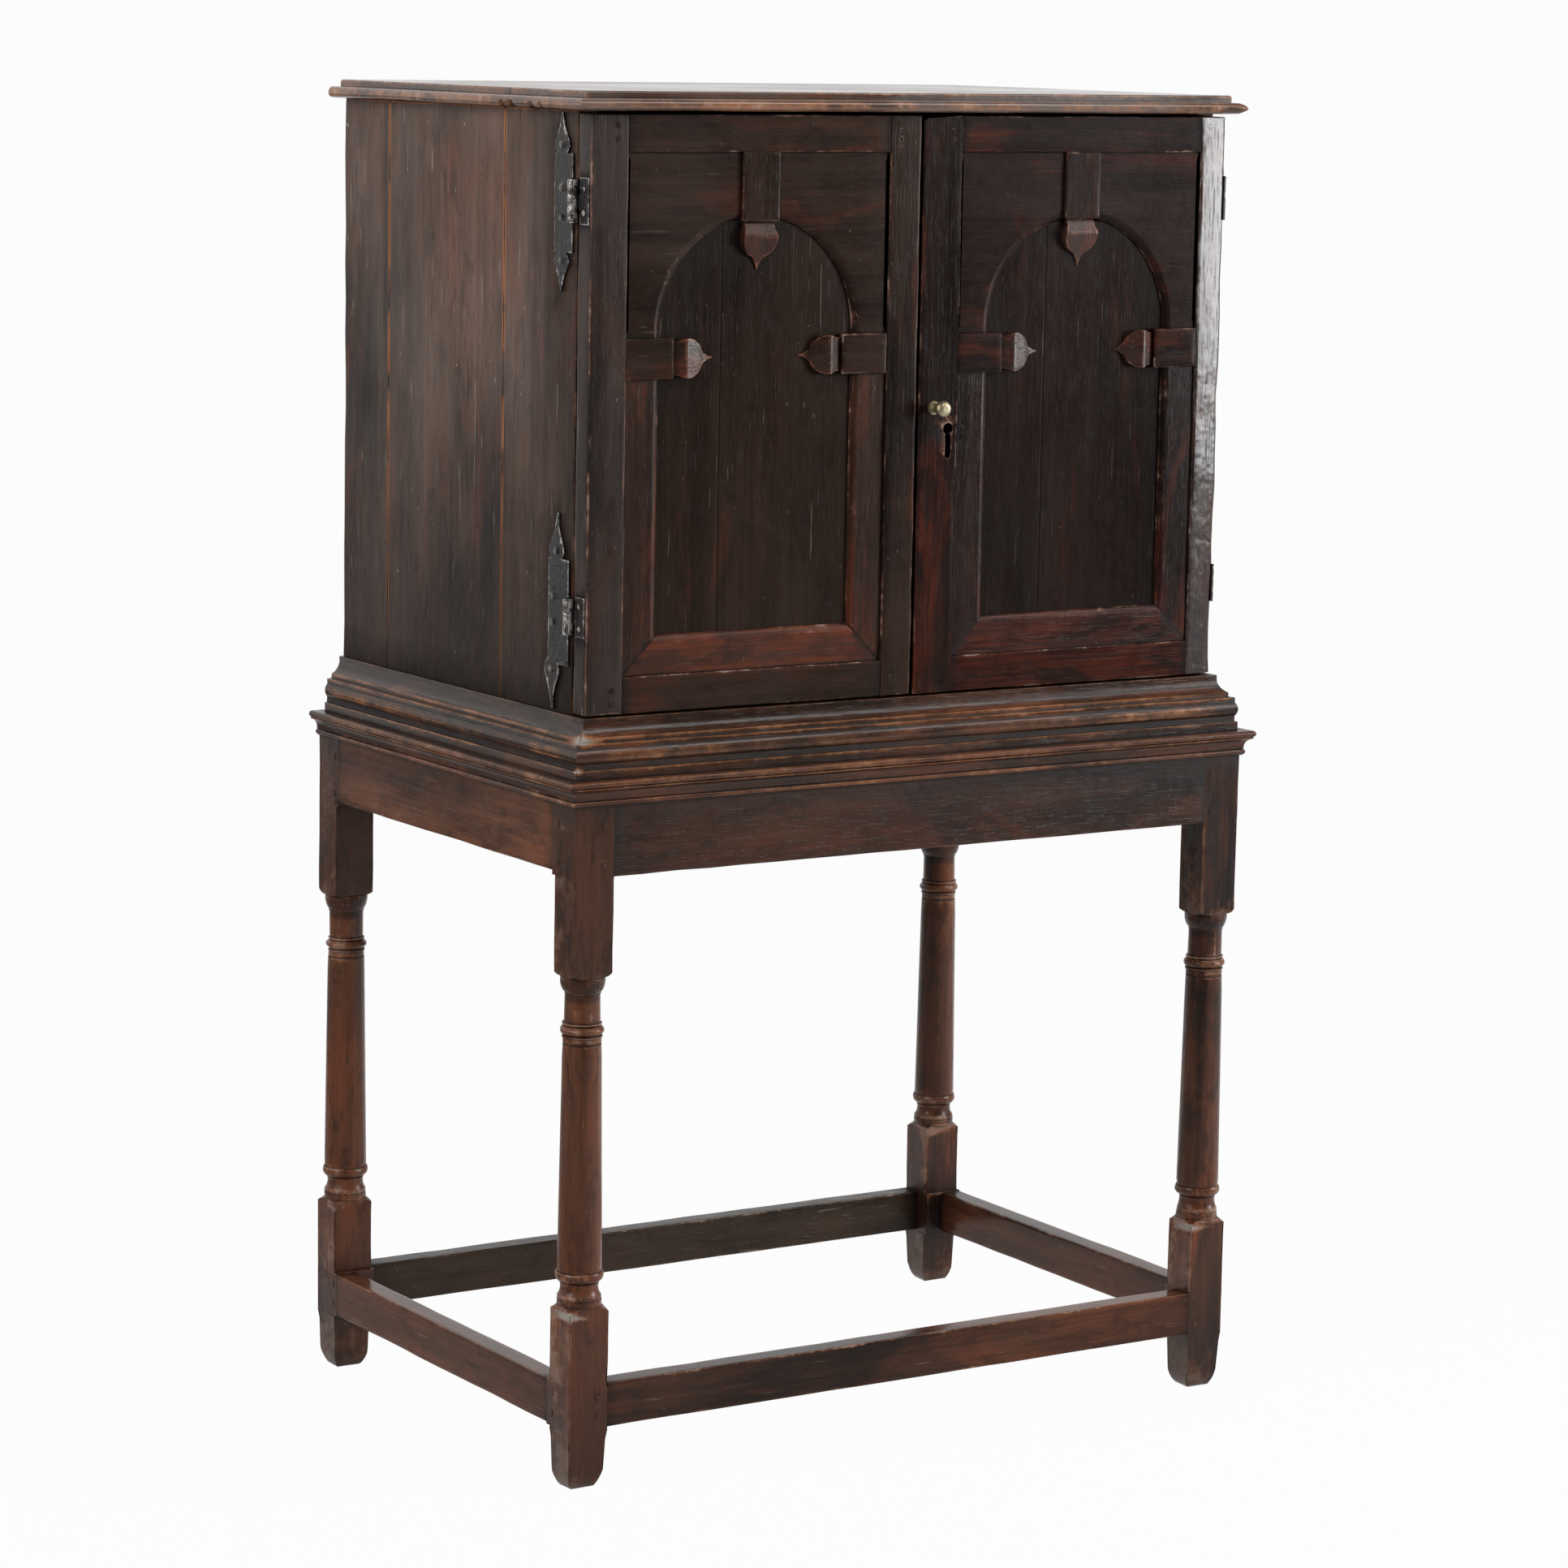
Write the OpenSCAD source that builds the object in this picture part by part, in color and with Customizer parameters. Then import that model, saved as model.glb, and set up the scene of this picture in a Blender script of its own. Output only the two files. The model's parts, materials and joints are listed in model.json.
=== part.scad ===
// Oak cabinet on stand: a two-door boarded cabinet with arcaded doors on a
// joined stand with turned legs. Doors face -Y, +Z is up, the floor is z = 0.

/* [Overall] */
// Width of the cabinet over its sides
cab_w = 748; // [700:1:800]
// Depth of the cabinet from door faces to back
cab_d = 505; // [470:1:540]
// Height from the floor to the top surface
total_h = 1350; // [1320:1:1400]
// Height of the stand
stand_h = 700; // [680:1:720]

/* [Legs] */
// Square section of the leg blocks
leg_s = 44; // [42:0.5:48]
// How far the legs stand out past the cabinet's sides and door faces
leg_out = 22.5; // [20:0.5:26]
// How far the back legs stand out past the cabinet's back
back_out = 7.5; // [4:0.5:12]
// How far the legs' inner faces are eased back between the joints
leg_ease = 6; // [3:0.5:7]
// Height of the lower leg block
low_block_h = 177; // [165:1:190]
// Height of the upper leg block
up_block_h = 185; // [175:1:195]
// Radius of the column at its foot
column_low_r = 22; // [20.5:0.1:22.6]
// Radius of the column at its head
column_up_r = 19.1; // [18:0.1:20]
// Radius of the necks between blocks and beads
neck_r = 17.8; // [16:0.1:18.4]
// Radius of the upper bead at its widest
bead_r = 21.5; // [20.5:0.1:23]
// Radius of the cushion above the lower neck at its widest
cushion_r = 23.8; // [22.4:0.1:24.8]
// Height of the rings and cushion between the lower block and the column
low_turn_h = 39.5; // [36:0.5:44]
// Height of the bead, neck and cup between the column and the upper block
up_turn_h = 67.5; // [62:0.5:73]
// Side of the square foot where it meets the floor
foot_s = 34; // [30:0.5:38]

/* [Rails and stretchers] */
// Height of the frieze rails
rail_h = 95; // [88:1:105]
// Height of the side frieze rails
side_rail_h = 92; // [86:1:102]
// Thickness of the frieze rails
rail_t = 30; // [26:0.5:32]
// Height of the stretchers
stretcher_h = 44.5; // [38:0.5:50]
// Thickness of the stretchers
stretcher_t = 24; // [22:0.5:28]
// Height of the stretchers' underside above the floor
stretcher_z = 60.5; // [52:0.5:70]
// Thickness of the rail and stretcher tenons
tenon_t = 9; // [7:0.5:10]
// Depth of the tenons into the legs
tenon_l = 24; // [18:0.5:25]
// Diameter of the pegs through the stand joints
stand_peg_d = 7; // [5:0.5:7.5]
// Distance of the stand's pegs from the joint lines
peg_in = 10; // [7:0.5:13]
// Height of the lower rail pegs above the rails' underside
rail_peg_low = 12; // [8:0.5:20]
// Height of the upper rail pegs above the rails' underside
rail_peg_up = 50; // [40:0.5:60]
// Height of the lower stretcher pegs above the stretchers' underside
stretcher_peg_low = 12; // [8:0.5:15]
// Height of the upper stretcher pegs above the stretchers' underside
stretcher_peg_up = 32; // [26:0.5:34]

/* [Stand moulding] */
// Height of the moulding round the top of the stand
lip_h = 26; // [23:0.5:30]
// Projection of its top lip past the legs
lip_p = 12; // [10:0.5:14]

/* [Base moulding] */
// Height of the moulding round the foot of the cabinet
base_h = 56.5; // [54:0.5:59]
// Projection of its bottom edge past the cabinet
base_p = 20.5; // [18:0.5:21]
// Radius of its half-round
torus_r = 10.5; // [9.5:0.1:11]

/* [Carcase] */
// Thickness of the side boards
side_t = 22; // [19:0.5:25]
// Width of the front board of each side
side_front_w = 141; // [120:1:160]
// Width of the back board of each side
side_back_w = 100; // [85:1:120]
// Thickness of the back boards
back_t = 12; // [9:0.5:14]
// Number of boards across the back
back_n = 4; // [3:1:5]
// Thickness of the bottom board
bottom_t = 20; // [16:0.5:22]
// Depth of the housings that hold the bottom board
housing_d = 7; // [5:0.5:9]
// Thickness of the shelf
shelf_t = 16; // [13:0.5:20]
// Height of the shelf's top above the bottom board
shelf_up = 290; // [240:1:340]
// How far the shelf's front edge is set back inside
shelf_in = 24; // [20:1:60]
// Section of the shelf cleats
cleat_s = 20; // [16:0.5:26]

/* [Top] */
// Thickness of the top
top_t = 18.5; // [17:0.5:21]
// Overhang of the top past the sides
top_side_out = 18.5; // [15:0.5:22]
// Overhang of the top past the door faces
top_front_out = 11.5; // [8:0.5:16]
// Height of the rounded lower edge of the top
nose_h = 11.5; // [10:0.5:13]
// How far the upper step is set back from the rounded edge
step_in = 14; // [11:0.5:17]
// Width of the top's front board
top_front_w = 150; // [130:1:190]
// Distance of the top's front nails behind the door faces
top_nail_front = 61; // [50:1:75]
// Distance of the top's middle nails behind the door faces
top_nail_mid = 327; // [280:1:370]
// Distance of the top's back nails behind the door faces
top_nail_back = 444; // [400:1:470]

/* [Doors] */
// Thickness of the door frames
door_t = 24; // [22:0.5:27]
// Gap between the doors and the carcase
door_back_gap = 1.5; // [1:0.1:2]
// Gap between the two doors
door_gap = 3; // [2.4:0.1:4]
// Gap above the base moulding
door_low_gap = 1.5; // [1:0.1:2.5]
// Gap below the top
door_up_gap = 3; // [2:0.1:4]
// Width of the left door's hinge stile
left_hinge_stile_w = 41; // [37:0.5:45]
// Width of the left door's meeting stile
left_meeting_stile_w = 36; // [34:0.5:42]
// Width of the right door's hinge stile
right_hinge_stile_w = 34; // [32:0.5:40]
// Width of the right door's meeting stile
right_meeting_stile_w = 46; // [45:0.5:52]
// Height of the doors' top rails
door_top_rail_h = 35.5; // [31:0.5:40]
// Height of the doors' bottom rails
door_low_rail_h = 36; // [33:0.5:42]
// Length of the rail tenons in the stiles
door_tenon_l = 25; // [18:0.5:28]
// Diameter of the door pegs
door_peg_d = 6; // [4.5:0.5:7]
// Distance of the door pegs from the joint lines
door_peg_in = 12; // [9:0.5:15]
// Distance of the outer door pegs from the doors' ends
door_peg_end = 10; // [8:0.5:12]
// Distance between the two pegs of a door joint
door_peg_step = 13; // [11:0.5:15]
// Width of the narrow board of each panel that is in sight
panel_narrow_w = 109; // [95:1:125]

/* [Arcade] */
// Depth of the panels behind the door faces
panel_d = 8; // [7:0.1:9]
// Thickness of the panels
panel_t = 9; // [8:0.1:10]
// Depth of the arcade behind the door faces
arcade_d = 3; // [2.5:0.1:3.6]
// Flat width of the moulding round the panels
mould_w = 30.5; // [28:0.5:33]
// Width of its rounded inner edge
ovolo_w = 8; // [6:0.5:9]
// Width of the block over the crown of the arch
key_w = 42; // [38:0.5:46]
// Length of the block over the crown of the arch
key_l = 66; // [63:0.5:70]
// Length of the blocks at the foot of the arch
impost_l = 52; // [48:0.5:56]
// Height of the blocks at the foot of the arch
impost_h = 39.5; // [36:0.5:43]
// Distance of the left arch's crown below its top rail
left_crown_down = 53.5; // [48:0.5:58]
// Distance of the right arch's crown below its top rail
right_crown_down = 57; // [50:0.5:59]
// Height of the arch's centre above the impost blocks
arch_stilt = 5; // [3:0.5:8]
// Thickness of the blocks
block_t = 8.5; // [7:0.1:9]
// Width of the carved drops
drop_w = 38; // [35:0.5:41]
// Length of the carved drops
drop_l = 47; // [44:0.5:50]
// Height of the carved drops at the ridge
drop_t = 9.5; // [8.5:0.1:11]

/* [Ironwork] */
// Radius of the hinge knuckles
knuckle_r = 5.2; // [4.7:0.1:5.5]
// Radius of the hinge pins
pin_r = 2; // [1.8:0.1:2.2]
// Height of the upper hinges' three knuckles together
upper_knuckle_h = 40.5; // [36:0.5:46]
// Height of the lower hinges' three knuckles together
lower_knuckle_h = 34.5; // [30:0.5:40]
// Thickness of the hinge leaves
leaf_t = 2.6; // [2:0.1:2.9]
// Width of the upper hinges' leaves on the carcase
upper_leaf_w = 40; // [36:0.5:44]
// Width of the lower hinges' leaves on the carcase
lower_leaf_w = 44; // [40:0.5:48]
// Width of the hinge leaves on the doors' edges
door_leaf_w = 20; // [17:0.5:21]
// Distance of the upper hinges' middle below the doors' top
upper_hinge_down = 82; // [75:1:95]
// Distance of the lower hinges' middle above the doors' bottom
lower_hinge_up = 94; // [90:1:110]
// Radius of the nail shanks
nail_r = 1.5; // [1.2:0.1:1.7]
// Radius of the nail heads
nail_head_r = 3.4; // [3:0.1:3.8]

/* [Lock and bolts] */
// Height of the keyhole's round part above the doors' bottom
keyhole_up = 263; // [250:1:275]
// Distance of the keyhole from the middle of the cabinet
keyhole_x = 37.5; // [36:0.5:39]
// Radius of the keyhole's round part
keyhole_r = 5.8; // [5:0.1:6]
// Width of the keyhole's slot
keyhole_slot_w = 7; // [6:0.1:8]
// Length of the keyhole from its round centre to the slot's end
keyhole_l = 29; // [26:0.5:32]
// Height of the lock case
lock_h = 90; // [84:1:96]
// Depth of the lock case
lock_t = 13; // [11:0.5:15]
// Height of the lock bolt
lock_bolt_h = 12; // [10:0.5:13]
// Throw of the lock bolt
lock_throw = 12; // [10:0.5:12.5]
// Width of the left door's bolt
slip_bolt_w = 10; // [9:0.5:12]
// Length of the left door's bolt
slip_bolt_l = 110; // [100:1:125]
// Throw of the left door's bolt
slip_throw = 12; // [9:0.5:12.5]

/* [Knob] */
// Distance of the knob from the middle of the cabinet
knob_x = 19; // [16:0.5:22]
// Height of the knob above the doors' bottom
knob_up = 284.5; // [280:0.5:290]
// Diameter of the knob's head
knob_d = 16.7; // [15:0.1:18]
// Diameter of the knob's rose
rose_d = 13.7; // [12.5:0.1:15]
// Projection of the knob
knob_p = 23; // [20:0.5:24]

/* [Fits] */
// Clearance round a tenon, tongue or board end in its seat
joint_fit = 0.1; // [0.05:0.01:0.15]
// Radial clearance of a turning pin
pin_fit = 0.05; // [0.03:0.01:0.08]
// Radial clearance of a peg or nail in its hole
peg_fit = 0.03; // [0.02:0.01:0.05]
// Gap between neighbouring boards
board_gap = 0.3; // [0.2:0.05:0.5]
// Clearance of a sliding bolt
slide_fit = 0.3; // [0.2:0.05:0.4]

/* [Hidden] */

$fn = 64;
BIG = 2000;
PROUD = 0.5;
LEFT = -1;
RIGHT = 1;

oak = [0.27, 0.15, 0.10];
oak_dark = [0.16, 0.11, 0.09];
oak_red = [0.33, 0.15, 0.09];
oak_pale = [0.45, 0.31, 0.20];
iron = [0.11, 0.11, 0.12];
brass = [0.60, 0.54, 0.36];

// Places across the width, measured from the middle
case_x = cab_w / 2;
leg_x = case_x + leg_out;
leg_in_x = leg_x - leg_s;

// Places along the depth, front at the lip, back at the back legs
stand_d = cab_d + leg_out + back_out;
leg_front_y = -(stand_d + lip_p) / 2 + lip_p;
leg_back_y = leg_front_y + stand_d;
stand_mid_y = (leg_front_y + leg_back_y) / 2;
door_y = leg_front_y + leg_out;
door_back_y = door_y + door_t;
case_y = door_back_y + door_back_gap;
back_y = door_y + cab_d;

// Heights
rail_z = stand_h - rail_h;
side_rail_z = stand_h - side_rail_h;
up_block_z = stand_h - up_block_h;
case_top_z = total_h - top_t;
plinth_top_z = stand_h + base_h;
door_z = plinth_top_z + door_low_gap;
door_top_z = case_top_z - door_up_gap;
shelf_z = plinth_top_z + shelf_up - shelf_t;

// Leg turning: shoulders cut the corners of the blocks
leg_axis_y = -leg_ease / 3;
block_r = norm([leg_s / 2, leg_s / 2 + leg_axis_y]) + 0.6;
low_shoulder_h = 5.5;
shoulder_r = 7.7;
shoulder_in = block_r - shoulder_r;
ring_r = leg_s / 2;

peg_l = 30;
tenon_shoulder = 3;
tenon_set = 8;

// Hinge pin places
pin_out = knuckle_r + 0.3;
pin_x = case_x + pin_out;
pin_y = door_back_y + door_back_gap / 2;
upper_hinge_z = door_top_z - upper_hinge_down;
lower_hinge_z = door_z + lower_hinge_up;
leaf_clear = knuckle_r + 0.5;
knuckle_gap = 0.3;
upper_leaf_up = 44;
upper_leaf_down = 49.5;
lower_leaf_up = 53;
lower_leaf_down = 49;
finial_r = 14;
leaf_let = 1.4;
pin_head_h = 1.4;

// Door openings, given as distances from the middle of the cabinet
left_in = door_gap / 2 + left_meeting_stile_w;
left_out = case_x - left_hinge_stile_w;
right_in = door_gap / 2 + right_meeting_stile_w;
right_out = case_x - right_hinge_stile_w;
opening_z = door_z + door_low_rail_h;
opening_top_z = door_top_z - door_top_rail_h;
arcade_t = panel_d - arcade_d;
tongue = 6;
tongue_set = 2.5;

// Lock and bolts
keyhole_z = door_z + keyhole_up;
knob_z = door_z + knob_up;
lock_x = door_gap / 2 + 1.5;
lock_w = 54;
lock_wall = 2;
lock_z = keyhole_z - 49;
lock_bolt_z = keyhole_z + 10;
lock_bolt_t = 6;
lock_bolt_l = 46;
lock_bolt_y = door_back_y + lock_wall + 1.2;
key_pin_r = 1.4;
staple_w = 6;
staple_t = 3;
staple_in = 7;
lock_staple_x = door_gap / 2 + 5.5;
lock_staple_gap = lock_bolt_h + 2;
lock_staple_over = lock_bolt_y + lock_bolt_t + 1 - door_back_y;
slip_x = door_gap / 2 + left_meeting_stile_w / 2;
slip_t = 4;
slip_z = door_top_z - 2.5 - slip_bolt_l;
slip_staple_ups = [22, 72];
slip_grip_up = 34;
socket_fit = 0.8;
socket_deep = 8;

// Nails
nail_l = 26;
nail_head_h = 1.2;

// Helpers

// Mirrors its children to the left half of the cabinet when side is LEFT
module on_side(side) {
    mirror([side == LEFT ? 1 : 0, 0, 0]) children();
}

// A box from its low corner to its high corner
module span(low, high) {
    translate(low) cube([high[0] - low[0], high[1] - low[1], high[2] - low[2]]);
}

// A bar along X with its outline drawn as (outward, up) for a front at y
module bar_x(y, half_l) {
    translate([half_l, y, 0]) rotate([0, 0, -90]) rotate([90, 0, 0])
        linear_extrude(2 * half_l) children();
}

// A bar along Y with its outline drawn as (outward, up) from x, y0 to y1
module bar_y(x, y0, y1) {
    translate([x, y1, 0]) rotate([90, 0, 0]) linear_extrude(y1 - y0) children();
}

// A bar along Z from z0 to z1
module bar_z(z0, z1) {
    translate([0, 0, z0]) linear_extrude(z1 - z0) children();
}

// A plate in the door plane from depth d0 to d1, outline drawn as (x, z)
module door_plate(d0, d1) {
    translate([0, door_y + d1, 0]) rotate([90, 0, 0]) linear_extrude(d1 - d0) children();
}

// A rod along X from x0 to x1
module rod_x(x0, x1, y, z, r) {
    translate([x0, y, z]) rotate([0, 90, 0]) cylinder(h = x1 - x0, r = r);
}

// A rod along Y from y0 to y1
module rod_y(x, y0, y1, z, r) {
    translate([x, y0, z]) rotate([-90, 0, 0]) cylinder(h = y1 - y0, r = r);
}

// Stand

// Half outline of the turned leg, drawn as (radius, height)
module leg_turning() {
    low = low_block_h;
    up = up_block_z;
    low_h = low_turn_h;
    up_h = up_turn_h;
    cushion_round = 8.2;
    bead_round = 5.2;
    intersection() {
        union() {
            square([neck_r - 1, stand_h]);
            polygon([[0, 0], [foot_s * 0.62, 0], [block_r - 2.5, 22], [block_r, 48],
                [block_r, low], [ring_r, low + low_shoulder_h], [0, low + low_shoulder_h]]);
            square([ring_r, low + low_h * 0.3]);
            square([ring_r - 1, low + low_h * 0.33]);
            difference() {
                square([ring_r - 0.2, low + low_h * 0.72]);
                translate([neck_r + 13.8, low + low_h * 0.6]) circle(13);
            }
            intersection() {
                translate([cushion_r - cushion_round, low + low_h * 0.91]) circle(cushion_round);
                translate([0, low + low_h * 0.66]) square([BIG, low_h * 0.34]);
            }
            square([cushion_r - cushion_round, low + low_h]);
            difference() {
                polygon([[0, low + low_h], [column_low_r, low + low_h],
                    [column_up_r, up - up_h], [0, up - up_h]]);
                translate([column_up_r - 0.7, up - up_h - 6.5]) square([5, 1.4]);
            }
            translate([0, up - up_h]) square([column_up_r + 0.9, 2]);
            translate([bead_r - bead_round, up - up_h + 2 + bead_round]) circle(bead_round);
            translate([0, up - up_h + 2]) square([bead_r - bead_round, 2 * bead_round]);
            translate([0, up - up_h + 2 + 2 * bead_round]) square([neck_r + 1.8, 2.5]);
            translate([0, up - up_h]) square([neck_r, up_h]);
            translate([0, up - 25]) square([neck_r + 0.8, 2]);
            intersection() {
                translate([ring_r + 0.2 - 26, up - 10]) circle(26);
                translate([0, up - 23.6]) square([BIG, 16]);
            }
            intersection() {
                translate([shoulder_in, up]) circle(shoulder_r);
                translate([0, up - shoulder_r]) square([BIG, shoulder_r]);
            }
            translate([0, up - shoulder_r]) square([shoulder_in, shoulder_r]);
            translate([0, up]) square([block_r, up_block_h]);
        }
        square([BIG, stand_h]);
    }
}

// Outline of the leg's square stock, drawn as (across, height), its inner side
// eased back; it leaves the turning free
module leg_stock(ease) {
    half = leg_s / 2;
    foot = foot_s / 2;
    low = low_block_h + low_shoulder_h;
    up = up_block_z - shoulder_r;
    polygon([[-foot, 0], [foot - ease, 0], [foot + 2.5 - ease, 13],
        [half - 1.2 - ease, stretcher_z - 12], [half - ease, stretcher_z - 3],
        [half - ease, low], [leg_s, low], [leg_s, up], [half - ease, up], [half - ease, stand_h],
        [-half, stand_h], [-half, up], [-leg_s, up], [-leg_s, low], [-half, low],
        [-half, stretcher_z - 3], [1.2 - half, stretcher_z - 12], [-foot - 2.5, 13]]);
}

// Full square block of the leg where rails or stretchers meet it
module leg_joint(z0, z1) {
    span([-leg_x, leg_front_y, z0], [-leg_in_x, leg_front_y + leg_s, z1]);
}

// One leg before its mortises and peg holes, front left
module leg_blank() {
    translate([-leg_x + leg_s / 2, leg_front_y + leg_s / 2, 0]) intersection() {
        translate([0, leg_axis_y, 0]) rotate_extrude() leg_turning();
        translate([0, leg_s, 0]) rotate([90, 0, 0]) linear_extrude(2 * leg_s) leg_stock(0);
        rotate([0, 0, 90]) translate([0, leg_s, 0]) rotate([90, 0, 0])
            linear_extrude(2 * leg_s) leg_stock(leg_ease);
    }
    leg_joint(rail_z - 1, stand_h);
    leg_joint(stretcher_z - 2, stretcher_z + stretcher_h + 1);
}

// Tenon along X into the front left leg, grown by the fit for its mortise
module tenon_x(z, h, fit) {
    span([-leg_in_x - tenon_l - fit, leg_front_y + tenon_set - fit, z + tenon_shoulder - fit],
        [-leg_in_x + fit, leg_front_y + tenon_set + tenon_t + fit, z + h - tenon_shoulder + fit]);
}

// Tenon along Y into the front left leg, grown by the fit for its mortise
module tenon_y(z, h, fit) {
    span([-leg_x + tenon_set - fit, leg_front_y + leg_s - tenon_l - fit, z + tenon_shoulder - fit],
        [-leg_x + tenon_set + tenon_t + fit, leg_front_y + leg_s + fit, z + h - tenon_shoulder + fit]);
}

// Pegs of one leg's joints, front left
module corner_pegs(fit) {
    for (z = [rail_z + rail_peg_low, rail_z + rail_peg_up,
            stretcher_z + stretcher_peg_low, stretcher_z + stretcher_peg_up]) {
        rod_y(-leg_in_x - peg_in, leg_front_y - PROUD, leg_front_y + peg_l, z, stand_peg_d / 2 + fit);
        rod_x(-leg_x - PROUD, -leg_x + peg_l, leg_front_y + leg_s - peg_in, z, stand_peg_d / 2 + fit);
    }
}

module leg() {
    difference() {
        leg_blank();
        tenon_x(rail_z, rail_h, joint_fit);
        tenon_y(side_rail_z, side_rail_h, joint_fit);
        tenon_x(stretcher_z, stretcher_h, joint_fit);
        tenon_y(stretcher_z, stretcher_h, joint_fit);
        corner_pegs(peg_fit);
    }
}

// Places its children at one corner of the stand, from the front left one
module at_corner(right, back) {
    translate([0, back ? 2 * stand_mid_y : 0, 0]) mirror([0, back ? 1 : 0, 0])
        mirror([right ? 1 : 0, 0, 0]) children();
}

module all_stand_pegs(fit) {
    for (right = [false, true], back = [false, true]) at_corner(right, back) corner_pegs(fit);
}

// A rail between the legs at the front, with a tenon at each end
module long_rail(z, h, t) {
    difference() {
        union() {
            span([-leg_in_x, leg_front_y, z], [leg_in_x, leg_front_y + t, z + h]);
            tenon_x(z, h, 0);
            on_side(LEFT) tenon_x(z, h, 0);
        }
        all_stand_pegs(peg_fit);
    }
}

// A rail between the legs at the left, with a tenon at each end
module side_rail(z, h, t) {
    difference() {
        union() {
            span([-leg_x, leg_front_y + leg_s, z], [-leg_x + t, leg_back_y - leg_s, z + h]);
            tenon_y(z, h, 0);
            at_corner(false, true) tenon_y(z, h, 0);
        }
        all_stand_pegs(peg_fit);
    }
}

module leg_front_left() { color(oak) at_corner(false, false) leg(); }
module leg_front_right() { color(oak) at_corner(true, false) leg(); }
module leg_back_left() { color(oak) at_corner(false, true) leg(); }
module leg_back_right() { color(oak) at_corner(true, true) leg(); }

module rail_front() { color(oak) long_rail(rail_z, rail_h, rail_t); }
module rail_back() { color(oak) at_corner(false, true) long_rail(rail_z, rail_h, rail_t); }
module rail_left() { color(oak) side_rail(side_rail_z, side_rail_h, rail_t); }
module rail_right() { color(oak) on_side(LEFT) side_rail(side_rail_z, side_rail_h, rail_t); }

module stretcher_front() {
    color(oak_red) long_rail(stretcher_z, stretcher_h, stretcher_t);
}
module stretcher_back() {
    color(oak_red) at_corner(false, true) long_rail(stretcher_z, stretcher_h, stretcher_t);
}
module stretcher_left() {
    color(oak_red) side_rail(stretcher_z, stretcher_h, stretcher_t);
}
module stretcher_right() {
    color(oak_red) on_side(LEFT) side_rail(stretcher_z, stretcher_h, stretcher_t);
}

module stand_pegs() { color(oak_pale) all_stand_pegs(0); }

// Outline of the stand's moulding: bead, cavetto and rounded lip
module lip_outline() {
    z = stand_h - lip_h;
    nose = 3.3;
    hollow = lip_h - 15.6;
    translate([0, z]) {
        square([2.2, lip_h]);
        translate([1, 3.8]) circle(3.2);
        translate([0, 7]) square([3, 2]);
        difference() {
            translate([0, 9]) square([lip_p - 2, hollow]);
            translate([3 + hollow * 0.86, 9]) circle(hollow * 0.86);
        }
        translate([0, 9 + hollow]) square([lip_p - nose, lip_h - 9 - hollow]);
        translate([lip_p - nose, lip_h - nose]) circle(nose);
    }
}

// Outline of the cabinet's base moulding: fillet, half-round, fillet and hollow
module base_outline() {
    mid = base_h - 35;
    hollow_r = 15;
    top = base_h - 4;
    translate([0, stand_h]) {
        square([base_p, 9]);
        square([base_p - 2.5, mid + torus_r + 2]);
        translate([base_p - torus_r, mid]) circle(torus_r);
        square([base_p - 6, mid + torus_r + 2.5]);
        square([base_p - 7.5, mid + torus_r + 6.6]);
        square([4, base_h]);
        difference() {
            square([base_p - 7.5, top]);
            translate([4 + hollow_r, top]) circle(hollow_r);
        }
    }
}

// Plan of a front strip, mitred at both corners
module front_mitre(x, y) {
    polygon([[-x, y], [x, y], [x + 60, y - 60], [-x - 60, y - 60]]);
}

// Plan of a left strip, mitred at its front end
module side_mitre(x, y, end_y) {
    polygon([[-x, y], [-x, end_y], [-x - 60, end_y], [-x - 60, y - 60]]);
}

module front_strip(x, y) {
    intersection() {
        bar_x(y, x + 60) children();
        bar_z(0, BIG) front_mitre(x, y);
    }
}

module side_strip(x, y, end_y) {
    intersection() {
        on_side(LEFT) bar_y(x, y - 60, end_y) children();
        bar_z(0, BIG) side_mitre(x, y, end_y);
    }
}

module stand_moulding_front() { color(oak_red) front_strip(leg_x, leg_front_y) lip_outline(); }
module stand_moulding_left() {
    color(oak_red) side_strip(leg_x, leg_front_y, leg_back_y) lip_outline();
}
module stand_moulding_right() {
    color(oak_red) on_side(LEFT) side_strip(leg_x, leg_front_y, leg_back_y) lip_outline();
}

// Cabinet carcase

module base_moulding_front() { color(oak) front_strip(case_x, door_y) base_outline(); }
module base_moulding_left() { color(oak) side_strip(case_x, door_y, back_y) base_outline(); }
module base_moulding_right() {
    color(oak) on_side(LEFT) side_strip(case_x, door_y, back_y) base_outline();
}

module plinth_front() {
    color(oak_dark) span([-case_x, door_y, stand_h], [case_x, case_y, plinth_top_z]);
}

// Nails of the right half: through the top into the side, through the hinge
// leaves into the side
module side_nails(fit) {
    for (d = [top_nail_front, top_nail_mid, top_nail_back]) {
        translate([case_x - side_t / 2, door_y + d, total_h - 0.3 - nail_head_h]) {
            cylinder(h = nail_head_h + (fit > 0 ? 1 : 0), r = nail_head_r + fit);
            translate([0, 0, 0.5 - nail_l]) cylinder(h = nail_l, r = nail_r + fit);
        }
    }
    for (p = case_leaf_nails()) {
        rod_x(case_x - 14, case_x + leaf_t + 0.5, p[0], p[1], nail_r + fit);
        if (fit == 0) {
            rod_x(case_x + leaf_t, case_x + leaf_t + 1.4, p[0], p[1], nail_head_r);
            rod_x(case_x + leaf_t + 1.4, case_x + leaf_t + 2.1, p[0], p[1], nail_head_r - 1);
        }
    }
}

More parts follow.
